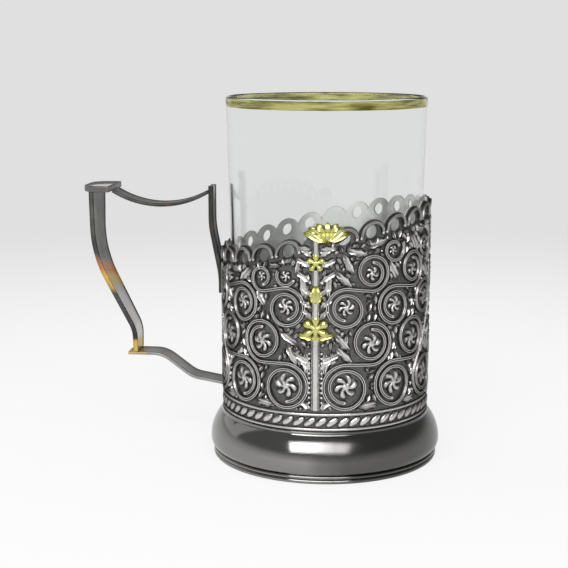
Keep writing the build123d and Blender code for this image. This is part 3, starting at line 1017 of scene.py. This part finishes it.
# Length and width, in millimetres, of the leaves between the scrolls and of the sprigs in the gaps left over
LEAF_SIZES = [(8.4, 3.2), (6.8, 2.8), (5.4, 2.4), (4.2, 2.0), (3.2, 1.7)]
SPRIG_SIZES = [(3.4, 1.6), (2.6, 1.4), (2.0, 1.2), (1.5, 1.0)]

# Steps between the places that are tried, and the size of a berry
SPRIG_PITCH = 1.1 * MM
BERRY_RADIUS = 0.5 * MM
BERRY_ROOM = 0.62 * MM
BERRY_PITCH = 0.8 * MM

# Ground kept free beside the handle's joints
HANDLE_CLEARANCE = 4.6 * MM


class Ground:
    """Remembers what covers the sleeve, so that new ornament finds room"""

    CELL = 4 * MM

    def __init__(self):
        self.cells = {}

    def cell_of(self, x, y):
        return math.floor(x / self.CELL), math.floor(y / self.CELL)

    def cover(self, center, radius):
        center = Vector(center)
        reach = radius + 2 * MM
        left, low = self.cell_of(center.x - reach, center.y - reach)
        right, high = self.cell_of(center.x + reach, center.y + reach)
        for column in range(left, right + 1):
            for row in range(low, high + 1):
                self.cells.setdefault((column, row), []).append((center, radius))

    def is_clear(self, point, room):
        here = self.cells.get(self.cell_of(*point), ())
        return all((point - center).length > radius + room for center, radius in here)


class HOLDER_OT_leaves(HolderOperator, bpy.types.Operator):
    """Makes the leaves and berries that fill the ground between the scrolls"""

    bl_idname = "holder.leaves"
    bl_label = "Leaves"

    def build(self):
        placed = place_scrolls()
        self.ground = Ground()
        for (_, degrees), (height, radius) in placed.items():
            for turn in (-360, 0, 360):
                self.ground.cover((span_of(degrees + turn), height), radius)
        for center, radius in spray_shape():
            self.ground.cover(center, radius)
        leaves = self.plan_leaves(placed) + self.plan_sprigs()
        berries = self.plan_berries()
        bm = bmesh.new()
        rise = sizes().relief_rise
        for mirror in (1, -1):
            shift = 0 if mirror > 0 else span_of(180)
            for start, tip, width, curl in leaves:
                ends = [(shift + mirror * point[0], point[1]) for point in (start, tip)]
                add_apart(bm, add_leaf, *ends, width, rise, mirror * curl)
            for x, y in berries:
                add_apart(bm, add_bead, (shift + mirror * x, y), BERRY_RADIUS, rise, 8, 4)
        make_ornament("ground_leaves", bm, leaf_silver(), "filler_leaves")

    def plan_leaves(self, placed):
        """Springs leaves from the scrolls of the front half wherever there is room, longest first"""
        leaves = []
        roots = [(span_of(d), height, radius) for (_, d), (height, radius) in placed.items() if abs(d) <= 90]
        low = field_bottom() - 0.3 * MM
        for reach, width in LEAF_SIZES:
            for x, y, radius in roots:
                for step in range(48):
                    around = 15.0 * (step // 2)
                    sense = 1 if step % 2 else -1
                    start = polar((x, y), radius - 0.2 * MM, around)
                    tip = polar(start, reach * MM, around + 50 * sense)
                    self.try_leaf(leaves, start, tip, width * MM, 0.16 * sense)
            for degrees in range(-88, 90, 2):
                for lean in (0, -35, 35):
                    start = (span_of(degrees), low)
                    self.try_leaf(leaves, start, polar(start, reach * MM, 90 - lean), width * MM, lean / 200)
        return leaves

    def plan_sprigs(self):
        """Drops short leaves into the gaps that are left, turned as the scrolls about them turn"""
        sprigs = []
        for reach, width in SPRIG_SIZES:
            for point in self.grid(SPRIG_PITCH):
                for heading in range(0, 360, 45):
                    lean = heading + 90 * math.sin(point.y / (6 * MM))
                    self.try_leaf(sprigs, point, polar(point, reach * MM, lean), width * MM, 0.14)
        return sprigs

    def plan_berries(self):
        berries = []
        for point in self.grid(BERRY_PITCH):
            if self.has_room(point, BERRY_ROOM):
                self.ground.cover(point, BERRY_ROOM)
                berries.append(point)
        return berries

    def grid(self, pitch):
        """Points all over the front half, each row half a step from the last"""
        across = int(span_of(90) / pitch)
        for row in range(int((SLEEVE_HIGH.z - field_bottom()) / pitch)):
            for column in range(-across, across + 1):
                yield Vector(((column + row % 2 / 2) * pitch, field_bottom() + row * pitch))

    def try_leaf(self, leaves, start, tip, width, curl):
        """Keeps a leaf if the ground is clear along it"""
        points = [along_leaf(start, tip, curl, part) for part in (0.3, 0.55, 0.8, 1.0)]
        rooms = [share * width for share in (0.38, 0.38, 0.28, 0.1)]
        if all(self.has_room(point, room) for point, room in zip(points, rooms)):
            for point, room in zip(points, rooms):
                self.ground.cover(point, room)
            leaves.append((start, tip, width, curl))

    def has_room(self, point, room):
        edge = span_of(90) - room
        top = crest_height(math.degrees(point.x / relief_middle())) - 1.2 * MM
        if not (-edge < point.x < edge and field_bottom() + 0.6 * room < point.y < top - room):
            return False
        beside_handle = point.x < -span_of(90) + HANDLE_CLEARANCE + room
        if beside_handle and not ARM_LOW.z + 6 * MM < point.y < BACK_LOW.z - 1 * MM:
            return False
        return self.ground.is_clear(point, room)


# Heights of the spray in millimetres. Low end, high end and share of the full width of each run of the stem
STEM_RUNS = [(23.6, 47.0, 1.0), (53.8, 58.5, 0.85), (64.0, 69.0, 0.85), (73.6, 78.8, 0.8)]
PEARL_PITCH = 1.6
PEARL_MARGIN = 3.4

# Height and radius of the circles that keep other ornament off the flowers and the fan
SPRAY_CIRCLES = [(49.5, 4.6), (71.5, 3.4), (79.0, 7.0)]

# Low end, reach across, rise and width of the silver leaves on each side of the stem
SPRAY_LEAVES = [
    (23.8, 5.4, 4.0, 2.4),
    (36.0, 4.6, 5.6, 2.6),
    (38.6, 8.0, 5.4, 2.8),
    (52.8, 4.0, 5.4, 2.4),
    (56.6, 5.2, 4.4, 2.4),
    (60.4, 4.6, 4.8, 2.4),
    (64.6, 6.4, 5.4, 2.6),
    (69.6, 6.6, 4.4, 2.6),
    (73.0, 4.8, 3.8, 2.4),
    (75.4, 7.4, 1.6, 2.4),
]

# Gilt work: middle and radius of the flowers, and root, tip and width of the bud and the leaves
LOWER_FLOWER = ((0, 50.0 * MM), 4.7 * MM)
UPPER_FLOWER = ((0, 71.2 * MM), 3.3 * MM)
BUD = ((0, 57.3 * MM), (0, 64.7 * MM), 4.8 * MM)
GILT_LEAF = ((0, 46.2 * MM), (6.0 * MM, 50.0 * MM), 2.6 * MM)

# Root, reach across and height of the fan on each side
FRONT_FAN = ((3.6 * MM, 78.2 * MM), 8.2 * MM, 6.0 * MM)
BACK_FAN = ((0.4 * MM, 76.4 * MM), 3.9 * MM, 3.4 * MM)
FAN_LEANS = (-78, -52, -26, 0, 26, 52, 78)
FAN_THICKNESS = 0.3 * MM


def spray_shape():
    """Circles that cover the gilt spray, to keep other ornament off it"""
    circles = [((0, height * MM), radius * MM) for height, radius in SPRAY_CIRCLES]
    step = 1.5 * MM
    rows = int((crest_height(0) - field_bottom()) / step)
    return circles + [((0, field_bottom() + step * row), 1.6 * MM) for row in range(rows)]


class HOLDER_OT_sprays(HolderOperator, bpy.types.Operator):
    """Makes the gilt flower stems on the two broad sides"""

    bl_idname = "holder.sprays"
    bl_label = "Gilt sprays"

    def build(self):
        for degrees, name in zip(FRONT_AND_BACK, ("front", "back")):
            bm = bmesh.new()
            self.add_spray(bm, FRONT_FAN if degrees == 0 else BACK_FAN)
            bmesh.ops.scale(bm, vec=(math.cos(math.radians(degrees)), 1, 1), verts=bm.verts)
            make_ornament(f"spray_{name}", bm, gilding(), f"gilt_spray_{name}", degrees)

    def add_spray(self, bm, fan_size):
        """Draws a spray flat: a pearled stem, silver leaves, and the flowers and fan that are gilt"""
        s = sizes()
        rise = s.relief_rise
        gilt = bm.verts.layers.float.new("gilt")
        for low, high, share in STEM_RUNS:
            half = share * s.stem_width / 2
            points = [(across, low * MM, up) for across, up in self.stem_profile(half, rise)]
            run_along(bm, chain(bm, points), [line(0, (high - low) * MM, 4)], (0, 0, 1), flat)
            for index in range(int((high - low - PEARL_MARGIN) / PEARL_PITCH)):
                height = (low + 1 + PEARL_PITCH * index) * MM
                for side in (-1, 1):
                    add_bead(bm, (side * (half + s.pearl_radius), height), s.pearl_radius, rise, 8, 4)
        gold = []
        root, (across, height), width = GILT_LEAF
        for side in (-1, 1):
            for low, reach, up, leaf_width in SPRAY_LEAVES:
                foot = (side * 1.2 * MM, low * MM)
                tip = (side * reach * MM, (low + up) * MM)
                add_leaf(bm, foot, tip, leaf_width * MM, rise, -0.16 * side)
            gold += add_leaf(bm, root, (side * across, height), width, rise, -0.2 * side)
        gold += add_blossom(bm, *LOWER_FLOWER, 1.1 * rise)
        gold += add_leaf(bm, *BUD, 1.15 * rise, lobes=0)
        gold += add_blossom(bm, *UPPER_FLOWER, 1.1 * rise, 5)
        gold += self.add_fan(bm, *fan_size)
        for vert in gold:
            vert[gilt] = 1.0

    def stem_profile(self, half, rise):
        """Section across a stem: a rounded bar between two fine beads"""
        side = [(1.0, 0.0), (0.98, 0.62), (0.84, 0.8), (0.72, 0.62), (0.66, 0.4), (0.58, 0.72), (0.34, 0.95)]
        shape = side + [(0.0, 1.0)] + [(-across, up) for across, up in reversed(side)]
        return [(half * across, rise * up) for across, up in shape]

    def add_fan(self, bm, root, reach, height):
        """A shell of ridged leaves that stands on the edge, nearer its high side"""
        verts = []
        for lean in FAN_LEANS:
            turn = math.radians(lean)
            tip = (root[0] + reach * math.sin(turn), root[1] + height * math.cos(turn))
            verts += add_leaf(bm, root, tip, 0.42 * reach, 1.1 * sizes().relief_rise, lean / 500, lobes=0)
        faces = {face for vert in verts for face in vert.link_faces}
        made = bmesh.ops.solidify(bm, geom=list(faces), thickness=FAN_THICKNESS)
        return verts + verts_in(made["geom"])


class HOLDER_OT_border(HolderOperator, bpy.types.Operator):
    """Makes the rope border and its two wires"""

    bl_idname = "holder.border"
    bl_label = "Border"

    def build(self):
        for name, low, high in (
            ("border_wire_lower", LOWER_WIRE_LOW, LOWER_WIRE_HIGH),
            ("border_wire_upper", UPPER_WIRE_LOW, UPPER_WIRE_HIGH),
        ):
            bm = bmesh.new()
            radius = (high.z - low.z) / 2
            lathe(bm, (relief_base(), low.z), [arc((relief_base(), low.z + radius), 180.0, 8)])
            make_piece(f"{name}_ring", bm, border_silver(), "holder", name)
        bm = bmesh.new()
        s = sizes()
        middle = (ROPE_LOW.z + ROPE_HIGH.z) / 2
        half = (ROPE_HIGH.z - ROPE_LOW.z) / 2
        for index in range(s.rope_strands):
            degrees = (index + 0.5) * 360 / s.rope_strands
            sense = math.copysign(1, math.cos(math.radians(degrees)))
            add_apart(bm, self.add_strand, span_of(degrees), middle, half, sense)
        make_ornament("border_rope_strands", bm, border_silver(), "border_rope")

    def add_strand(self, bm, x, middle, half, sense):
        """A plump slanted strand that nearly touches its neighbours"""
        rise = 0.8 * MM
        slant = 0.75
        half_width = 0.46 * span_of(360 / sizes().rope_strands)
        add_bead(bm, (0, 0), half, rise, 10, 8)
        bmesh.ops.scale(bm, vec=(half_width / half, 1, 1), verts=bm.verts)
        for vert in bm.verts:
            vert.co.x += x + sense * slant * vert.co.y
            vert.co.y += middle


class HOLDER_OT_foot(HolderOperator, bpy.types.Operator):
    """Makes the swelling foot and the lip it stands on"""

    bl_idname = "holder.foot"
    bl_label = "Foot"

    def build(self):
        self.build_ring()
        self.build_lip()
        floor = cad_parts["floor_plate"]
        floor.data.materials.clear()
        floor.data.materials.append(polished_foot())

    def build_ring(self):
        """A spun shell whose swell is two arcs that meet where it is widest"""
        wall = sizes().foot_wall
        neck = relief_base() + 0.85 * MM
        widest = FOOT_HIGH.y
        flare = widest - neck
        undercut = 1.4 * MM
        wide = 5.8 * MM
        shoulder = FOOT_HIGH.z - 1.0 * MM
        upper = (flare**2 + (shoulder - wide) ** 2) / (2 * flare)
        lower = (undercut**2 + (wide - FOOT_LOW.z) ** 2) / (2 * undercut)
        upper_turn = math.degrees(math.asin((shoulder - wide) / upper))
        lower_turn = math.degrees(math.asin((wide - FOOT_LOW.z) / lower))
        collar = 2 * MM
        bm = bmesh.new()
        inner_low = widest - undercut - wall
        swell = (widest - upper, wide)
        tuck = (widest - lower, wide)
        path = [
            line(wall, 0),
            arc(tuck, lower_turn, 8),
            arc(swell, upper_turn, 18),
            line(0, FOOT_HIGH.z - shoulder, 2),
            line(relief_base() - neck, 0),
            line(0, shoulder - FOOT_HIGH.z - collar, 2),
            line(inner_low - relief_base(), FOOT_LOW.z - shoulder + collar, 4),
        ]
        lathe(bm, (inner_low, FOOT_LOW.z), path)
        piece = make_piece("foot_swell", bm, polished_foot(), "holder", "foot_ring")
        soften(piece, 0.25 * MM)

    def build_lip(self):
        """A flat ring with two round mouldings, the lower one bolder"""
        bm = bmesh.new()
        width = 3.6 * MM
        outer = LIP_HIGH.y
        inner = outer - width
        top = LIP_HIGH.z
        lower = 0.28 * top
        upper = 0.22 * top
        path = [
            line(outer - inner - lower, 0, 2),
            arc((outer - lower, lower), 180.0, 12),
            line(lower - upper, 0),
            arc((outer - upper, top - upper), 180.0, 10),
            line(inner - outer + upper, 0, 2),
            line(0, -top, 2),
        ]
        lathe(bm, (inner, 0.0), path)
        make_piece("foot_lip_ring", bm, polished_foot(), "holder", "foot_lip")


# Bends of the handle's straps: radii, and where the corners lie
GRIP_BENDS = (40 * MM, 12 * MM)
GRIP_BEND_DROP = 23.6 * MM
KNEE_LENGTH = 7.5 * MM
ARM_BENDS = (10 * MM, 10 * MM)
ARM_LEVEL_SHARE = 0.30
ARM_SLOPE_SHARE = 0.34
ARM_END_RISE_SHARE = 0.2
BACK_BENDS = (30 * MM, 30 * MM)
BACK_BEND_DROP = 6.8 * MM
BACK_TOP_LENGTH = 13.5 * MM

# Painted shade of a strap's panel at two heights, and of its rims
GRIP_SHADE = ((50 * MM, 0.0), (68 * MM, 0.85))
ARM_SHADE = ((20 * MM, 0.35), (30 * MM, 0.0))
BACK_SHADE = ((88 * MM, 1.0), (91 * MM, 0.5))
BRIDGE_SHADE = ((80 * MM, 0.45), (90 * MM, 0.45))
RIM_SHADE = 0.95

# Thumb plate: radius of its outer corners, width of its rim, and run and depth of the hollow's slope
PLATE_CORNER = 5.5 * MM
PLATE_RIM = 1.1 * MM
PLATE_SLOPE = 0.35 * MM
PLATE_HOLLOW = 0.45 * MM


class HOLDER_OT_handle(HolderOperator, bpy.types.Operator):
    """Makes the thumb plate and the straps of the handle"""

    bl_idname = "holder.handle"
    bl_label = "Handle"

    def build(self):
        half = sizes().strap_thickness / 2
        knee_x = GRIP_HIGH.x - half
        self.build_plate()
        self.build_grip(half, knee_x)
        self.build_arm(THIN_SHARE * half, knee_x)
        self.build_back_strap(half)
        self.build_bridge(half)

    def build_grip(self, half, knee_x):
        """The strap under the thumb plate, which narrows down to the knee"""
        grip_x = GRIP_LOW.x + half
        points = [
            (grip_x, GRIP_HIGH.z),
            (grip_x, PLATE_HIGH.z - GRIP_BEND_DROP),
            (knee_x, GRIP_LOW.z + KNEE_LENGTH),
            (knee_x, GRIP_LOW.z),
        ]
        bm = self.strap(points, GRIP_BENDS, GRIP_HIGH.y * 2, half)
        self.shade(bm, GRIP_SHADE, RIM_SHADE)
        knee_share = ARM_HIGH.y / GRIP_HIGH.y
        for vert in bm.verts:
            part = (vert.co.z - GRIP_LOW.z) / (GRIP_HIGH.z - GRIP_LOW.z)
            vert.co.y *= knee_share + (1 - knee_share) * part
        self.make_strap("handle_grip_strap", bm)

    def build_arm(self, half, knee_x):
        """The thin strap from the knee down to the sleeve"""
        seat = ARM_LOW.z + half
        level = ARM_HIGH.z - half
        span = -relief_base() - knee_x
        level_end = knee_x + ARM_LEVEL_SHARE * span
        slope_end = level_end + ARM_SLOPE_SHARE * span
        points = [
            (ARM_LOW.x, level),
            (level_end, level),
            (slope_end, seat + ARM_END_RISE_SHARE * (level - seat)),
            (ARM_HIGH.x - 0.3 * MM, seat),
        ]
        bm = self.strap(points, ARM_BENDS, ARM_HIGH.y * 2, half)
        self.shade(bm, ARM_SHADE, 0.5)
        self.make_strap("handle_lower_arm", bm)

    def build_back_strap(self, half):
        """The strap that lies on the sleeve and rises to the bridge"""
        lower_x = -relief_base() - half - 0.1 * MM
        upper_x = BACK_LOW.x + half
        points = [
            (lower_x, BACK_LOW.z),
            (lower_x, crest_height(HANDLE_ANGLE) - BACK_BEND_DROP),
            (upper_x, BACK_HIGH.z - BACK_TOP_LENGTH),
            (upper_x, BACK_HIGH.z),
        ]
        bm = self.strap(points, BACK_BENDS, BACK_HIGH.y * 2, half)
        self.shade(bm, BACK_SHADE, RIM_SHADE)
        self.make_strap("handle_back_strap", bm)

    def strap_profile(self, width, half):
        """Section across a strap, with a raised rim along both edges: across, up and whether it is rim"""
        rim = sizes().rim_width
        side = width / 2
        deep = 0.35 * half
        quarter = [
            (side, 0.0, 1),
            (side - 0.12 * rim, 0.75 * half, 1),
            (side - 0.5 * rim, half, 1),
            (side - rim, 0.75 * half, 1),
            (side - 1.35 * rim, half - deep, 0),
            (0.25 * side, half - deep * 0.8, 0),
        ]
        other = [(-across, up, is_rim) for across, up, is_rim in reversed(quarter[1:])]
        below = [(-across, -up, is_rim) for across, up, is_rim in quarter]
        below += [(across, -up, is_rim) for across, up, is_rim in reversed(quarter[1:])]
        return quarter + other + below

    def strap(self, points, bends, width, half):
        """A strap along straight runs that bend into each other"""
        bm = bmesh.new()
        heading = (Vector(points[1]) - Vector(points[0])).normalized()
        self.sweep(bm, points[0], heading, rounded_path(points, bends), width, half)
        return bm

    def make_strap(self, node, bm):
        make_piece(f"{node}_rimmed", bm, handle_silver(), "holder", node, sharp=50.0)

    def shade(self, bm, shades, rim):
        """Paints shade on the rims, and on the panel by its height"""
        layer = bm.verts.layers.float["shade"]
        (low, low_shade), (high, high_shade) = shades
        for vert in bm.verts:
            part = min(max((vert.co.z - low) / (high - low), 0), 1)
            panel = low_shade + (high_shade - low_shade) * part
            vert[layer] = max(panel, rim * vert[layer])

    def sweep(self, bm, start, heading, path, width, half):
        """Carries the section along a path and closes both ends"""
        layer = bm.verts.layers.float.new("shade")
        side = Vector((-heading.y, heading.x))
        verts = []
        for across, up, is_rim in self.strap_profile(width, half):
            point = upright(Vector(start) + side * up)
            vert = bm.verts.new((point.x, across, point.z))
            # Marks the rims for the painted shade
            vert[layer] = is_rim
            verts.append(vert)
        edges = [bm.edges.new((a, b)) for a, b in zip(verts, verts[1:] + verts[:1])]
        last = run_along(bm, verts + edges, path, (0, -1, 0), upright)
        bmesh.ops.contextual_create(bm, geom=edges)
        bmesh.ops.contextual_create(bm, geom=[g for g in last if isinstance(g, bmesh.types.BMEdge)])
        bmesh.ops.recalc_face_normals(bm, faces=bm.faces)

    def build_bridge(self, half):
        """The thin strap that sags in one arc from the thumb plate to the back strap"""
        level = PLATE_LOW.z + half / 2 - 0.4 * MM
        middle = BRIDGE_LOW.z + half
        chord = (BRIDGE_HIGH.x - BRIDGE_LOW.x) / 2
        drop = level - middle
        radius = (chord**2 + drop**2) / (2 * drop)
        sweep = 2 * math.degrees(math.asin(chord / radius))
        center = ((BRIDGE_LOW.x + BRIDGE_HIGH.x) / 2, middle + radius)
        tilt = math.radians(sweep / 2)
        heading = Vector((math.cos(tilt), -math.sin(tilt)))
        bm = bmesh.new()
        path = [arc(center, sweep, 20)]
        self.sweep(bm, (BRIDGE_LOW.x, level), heading, path, BRIDGE_HIGH.y * 2, THIN_SHARE * half)
        self.shade(bm, BRIDGE_SHADE, RIM_SHADE)
        self.make_strap("handle_bridge_strap", bm)

    def build_plate(self):
        """A flat plate with two round corners and a hollow for the thumb"""
        bm = bmesh.new()
        layer = bm.verts.layers.float.new("shade")
        made = bmesh.ops.create_grid(bm, x_segments=1, y_segments=1, size=0.5)
        size = PLATE_HIGH - PLATE_LOW
        bmesh.ops.scale(bm, vec=(size.x, size.y, 1), verts=made["verts"])
        middle = (PLATE_LOW + PLATE_HIGH) / 2
        bmesh.ops.translate(bm, vec=(middle.x, 0, PLATE_LOW.z), verts=made["verts"])
        outer = [vert for vert in bm.verts if vert.co.x < middle.x]
        bmesh.ops.bevel(
            bm, geom=outer, offset=PLATE_CORNER, affect="VERTICES", segments=8, profile=0.5, material=-1
        )
        top = bmesh.ops.extrude_face_region(bm, geom=bm.faces[:])
        bmesh.ops.translate(bm, vec=(0, 0, size.z), verts=verts_in(top["geom"]))
        # Painted shade on the plate's rim and sides
        for vert in bm.verts:
            vert[layer] = 0.8
        cap = [face for face in bm.faces if face.calc_center_median().z > PLATE_HIGH.z - 0.1 * MM]
        bmesh.ops.inset_region(bm, faces=cap, thickness=PLATE_RIM, depth=0)
        bmesh.ops.inset_region(bm, faces=cap, thickness=PLATE_SLOPE, depth=-PLATE_HOLLOW)
        # The thumb hollow gets no painted shade, and a polished finish
        for face in cap:
            for vert in face.verts:
                vert[layer] = -1.0
        bmesh.ops.recalc_face_normals(bm, faces=bm.faces)
        node = "handle_thumb_plate"
        piece = make_piece(f"{node}_rimmed", bm, handle_silver(), "holder", node)
        soften(piece, 0.3 * MM)


class HOLDER_OT_glass(HolderOperator, bpy.types.Operator):
    """Makes the tumbler and the gilt band at its rim"""

    bl_idname = "holder.glass"
    bl_label = "Glass"

    def build(self):
        s = sizes()
        rim = GLASS_HIGH.y
        base = rim - s.glass_taper
        wall = s.glass_wall
        low, top = GLASS_LOW.z, GLASS_HIGH.z
        bend = top - 5 * MM
        heel = 3 * MM
        floor = low + 4 * MM
        hub = 20 * MM
        dome = 0.8 * MM
        lip = wall / 2
        bm = bmesh.new()
        path = [
            line(base - heel - hub, 0, 2),
            arc((base - heel, low + heel), 90.0, 10),
            line(rim - base, bend - low - heel, 12),
            line(0, top - lip - bend, 2),
            arc((rim - lip, top - lip), 180.0, 10),
            line(0, bend - top + lip, 2),
            line(base - rim, floor + heel - bend, 12),
            arc((base - wall - heel, floor + heel), -90.0, 10),
            line(hub - base + wall + heel, 0, 2),
            line(-hub, dome, 4),
        ]
        lathe(bm, (hub, low), path)
        hollow_rim = [edge for edge in bm.edges if edge.is_boundary]
        hollow = bmesh.ops.extrude_edge_only(bm, edges=hollow_rim)
        for vert in verts_in(hollow["geom"]):
            vert.co = (0, 0, low + dome)
        close_seams(bm)
        make_piece("tumbler", bm, clear_glass(), "glass", "glass_tumbler", sharp=50.0)
        self.build_band()

    def build_band(self):
        bm = bmesh.new()
        inner = GLASS_HIGH.y + sizes().solder_gap
        thick = BAND_HIGH.y - inner
        tall = BAND_HIGH.z - BAND_LOW.z
        slope = 0.1 * MM
        path = [line(thick, slope), line(0, tall - 2 * slope, 3), line(-thick, slope), line(0, -tall, 3)]
        lathe(bm, (inner, BAND_LOW.z), path)
        make_piece("rim_band", bm, rim_gilding(), "glass", "glass_gilt_band")


# Place, and width and height, of each lamp, and the point that both face, in metres
KEY_LAMP = ((-0.01, -0.70, 0.50), (0.86, 0.40))
SIDE_LAMP = ((-0.85, 0.40, 0.60), (0.80, 0.80))
LAMP_AIM = Vector((0, 0, 0.05))

# Half the table's side, its drop under the foot, and where and over what run it fades away
TABLE_HALF = 6.0
TABLE_DROP = 0.05 * MM
TABLE_FADE_START = 0.12
TABLE_FADE_RUN = 0.48


class HOLDER_OT_stage(HolderOperator, bpy.types.Operator):
    """Makes the table, the camera and the lights"""

    bl_idname = "holder.stage"
    bl_label = "Stage"

    def build(self):
        stage = bpy.context.scene.holder_stage
        bpy.context.scene.view_settings.view_transform = "Standard"
        self.build_floor(stage)
        self.build_world(stage)
        self.build_camera(stage)
        self.add_lamp("key_light", *KEY_LAMP, stage.key_power)
        self.add_lamp("side_light", *SIDE_LAMP, stage.side_power)

    def build_floor(self, stage):
        c = colours()
        bm = bmesh.new()
        bmesh.ops.create_grid(bm, x_segments=2, y_segments=2, size=TABLE_HALF)
        bmesh.ops.translate(bm, vec=(0, 0, -TABLE_DROP), verts=bm.verts)
        table = add_object("table", as_mesh("table", bm))
        material = bpy.data.materials.new("pale_table")
        paint = Paint(material)
        mottle = paint.noise(9.0, 2.0)
        plain = paint.node(
            "ShaderNodeBsdfPrincipled",
            {},
            {"Base Color": paint.mix(mottle * 0.06, c.floor, c.wall), "Roughness": 0.7 - mottle * 0.1},
        )
        white = paint.node("ShaderNodeEmission", {}, {"Color": (1, 1, 1), "Strength": 1.0})
        far = ((paint.off_axis() - TABLE_FADE_START) / TABLE_FADE_RUN).clamp()
        clear = paint.node("ShaderNodeBsdfTransparent", {}, {})
        lit = paint.blend(paint.shown(stage.floor_glow, 0.4 * stage.floor_glow), plain, white)
        paint.output(paint.blend(far * far * (3 - 2 * far), lit, clear))
        table.data.materials.append(material)

    def build_world(self, stage):
        c = colours()
        world = bpy.data.worlds.new("studio")
        bpy.context.scene.world = world
        paint = Paint(world)
        heading = paint.node("ShaderNodeTexCoord", {}, {}, "Generated")
        up = paint.node("ShaderNodeSeparateXYZ", {}, {0: heading}, "Z")
        overhead = ((up - 0.06) / 0.22).clamp()
        light = paint.node("ShaderNodeBackground", {}, {"Color": (1, 1, 1), "Strength": stage.ambient})
        room = paint.node("ShaderNodeBackground", {}, {"Color": paint.mix(overhead, c.wall, c.ceiling)})
        paint.output(paint.blend(paint.shown(), light, room), "ShaderNodeOutputWorld")

    def build_camera(self, stage):
        data = bpy.data.cameras.new("camera")
        data.sensor_fit = "HORIZONTAL"
        data.angle = stage.field_of_view
        data.clip_start = 0.01
        camera = add_object("camera", data)
        turn = stage.camera_azimuth
        reach = stage.camera_distance
        camera.location = (reach * math.sin(turn), -reach * math.cos(turn), stage.camera_height)
        camera.rotation_euler = (math.pi / 2 - stage.camera_pitch, 0, turn + stage.camera_yaw)
        bpy.context.scene.camera = camera

    def add_lamp(self, name, place, size, power):
        data = bpy.data.lights.new(name, "AREA")
        data.shape = "RECTANGLE"
        data.size, data.size_y = size
        data.energy = power
        lamp = add_object(name, data)
        lamp.location = place
        aim = LAMP_AIM - Vector(place)
        lamp.rotation_euler = aim.to_track_quat("-Z", "Y").to_euler()


STEPS = (
    HOLDER_OT_sleeve,
    HOLDER_OT_crest,
    HOLDER_OT_scrolls,
    HOLDER_OT_blossoms,
    HOLDER_OT_leaves,
    HOLDER_OT_sprays,
    HOLDER_OT_border,
    HOLDER_OT_foot,
    HOLDER_OT_handle,
    HOLDER_OT_glass,
    HOLDER_OT_stage,
)
GROUPS = {"holder_sizes": HolderSizes, "holder_colours": HolderColours, "holder_stage": HolderStage}


class HOLDER_PT_panel(bpy.types.Panel):
    """Lists the steps and the sizes and colours they use"""

    bl_idname = "HOLDER_PT_panel"
    bl_label = "Tea Glass Holder"
    bl_space_type = "VIEW_3D"
    bl_region_type = "UI"
    bl_category = "Tea Holder"

    def draw(self, context):
        for step in STEPS:
            self.layout.operator(step.bl_idname)
        for place, group in GROUPS.items():
            box = self.layout.box()
            for name in group.__annotations__:
                box.prop(getattr(context.scene, place), name)


CLASSES = (*GROUPS.values(), *STEPS, HOLDER_PT_panel)


def register():
    for cls in CLASSES:
        bpy.utils.register_class(cls)
    for place, group in GROUPS.items():
        setattr(bpy.types.Scene, place, PointerProperty(type=group))


def unregister():
    for place in GROUPS:
        delattr(bpy.types.Scene, place)
    for cls in reversed(CLASSES):
        bpy.utils.unregister_class(cls)


def main():
    register()
    for step in STEPS:
        name = step.bl_idname.removeprefix("holder.")
        getattr(bpy.ops.holder, name)()


if __name__ == "__main__":
    main()
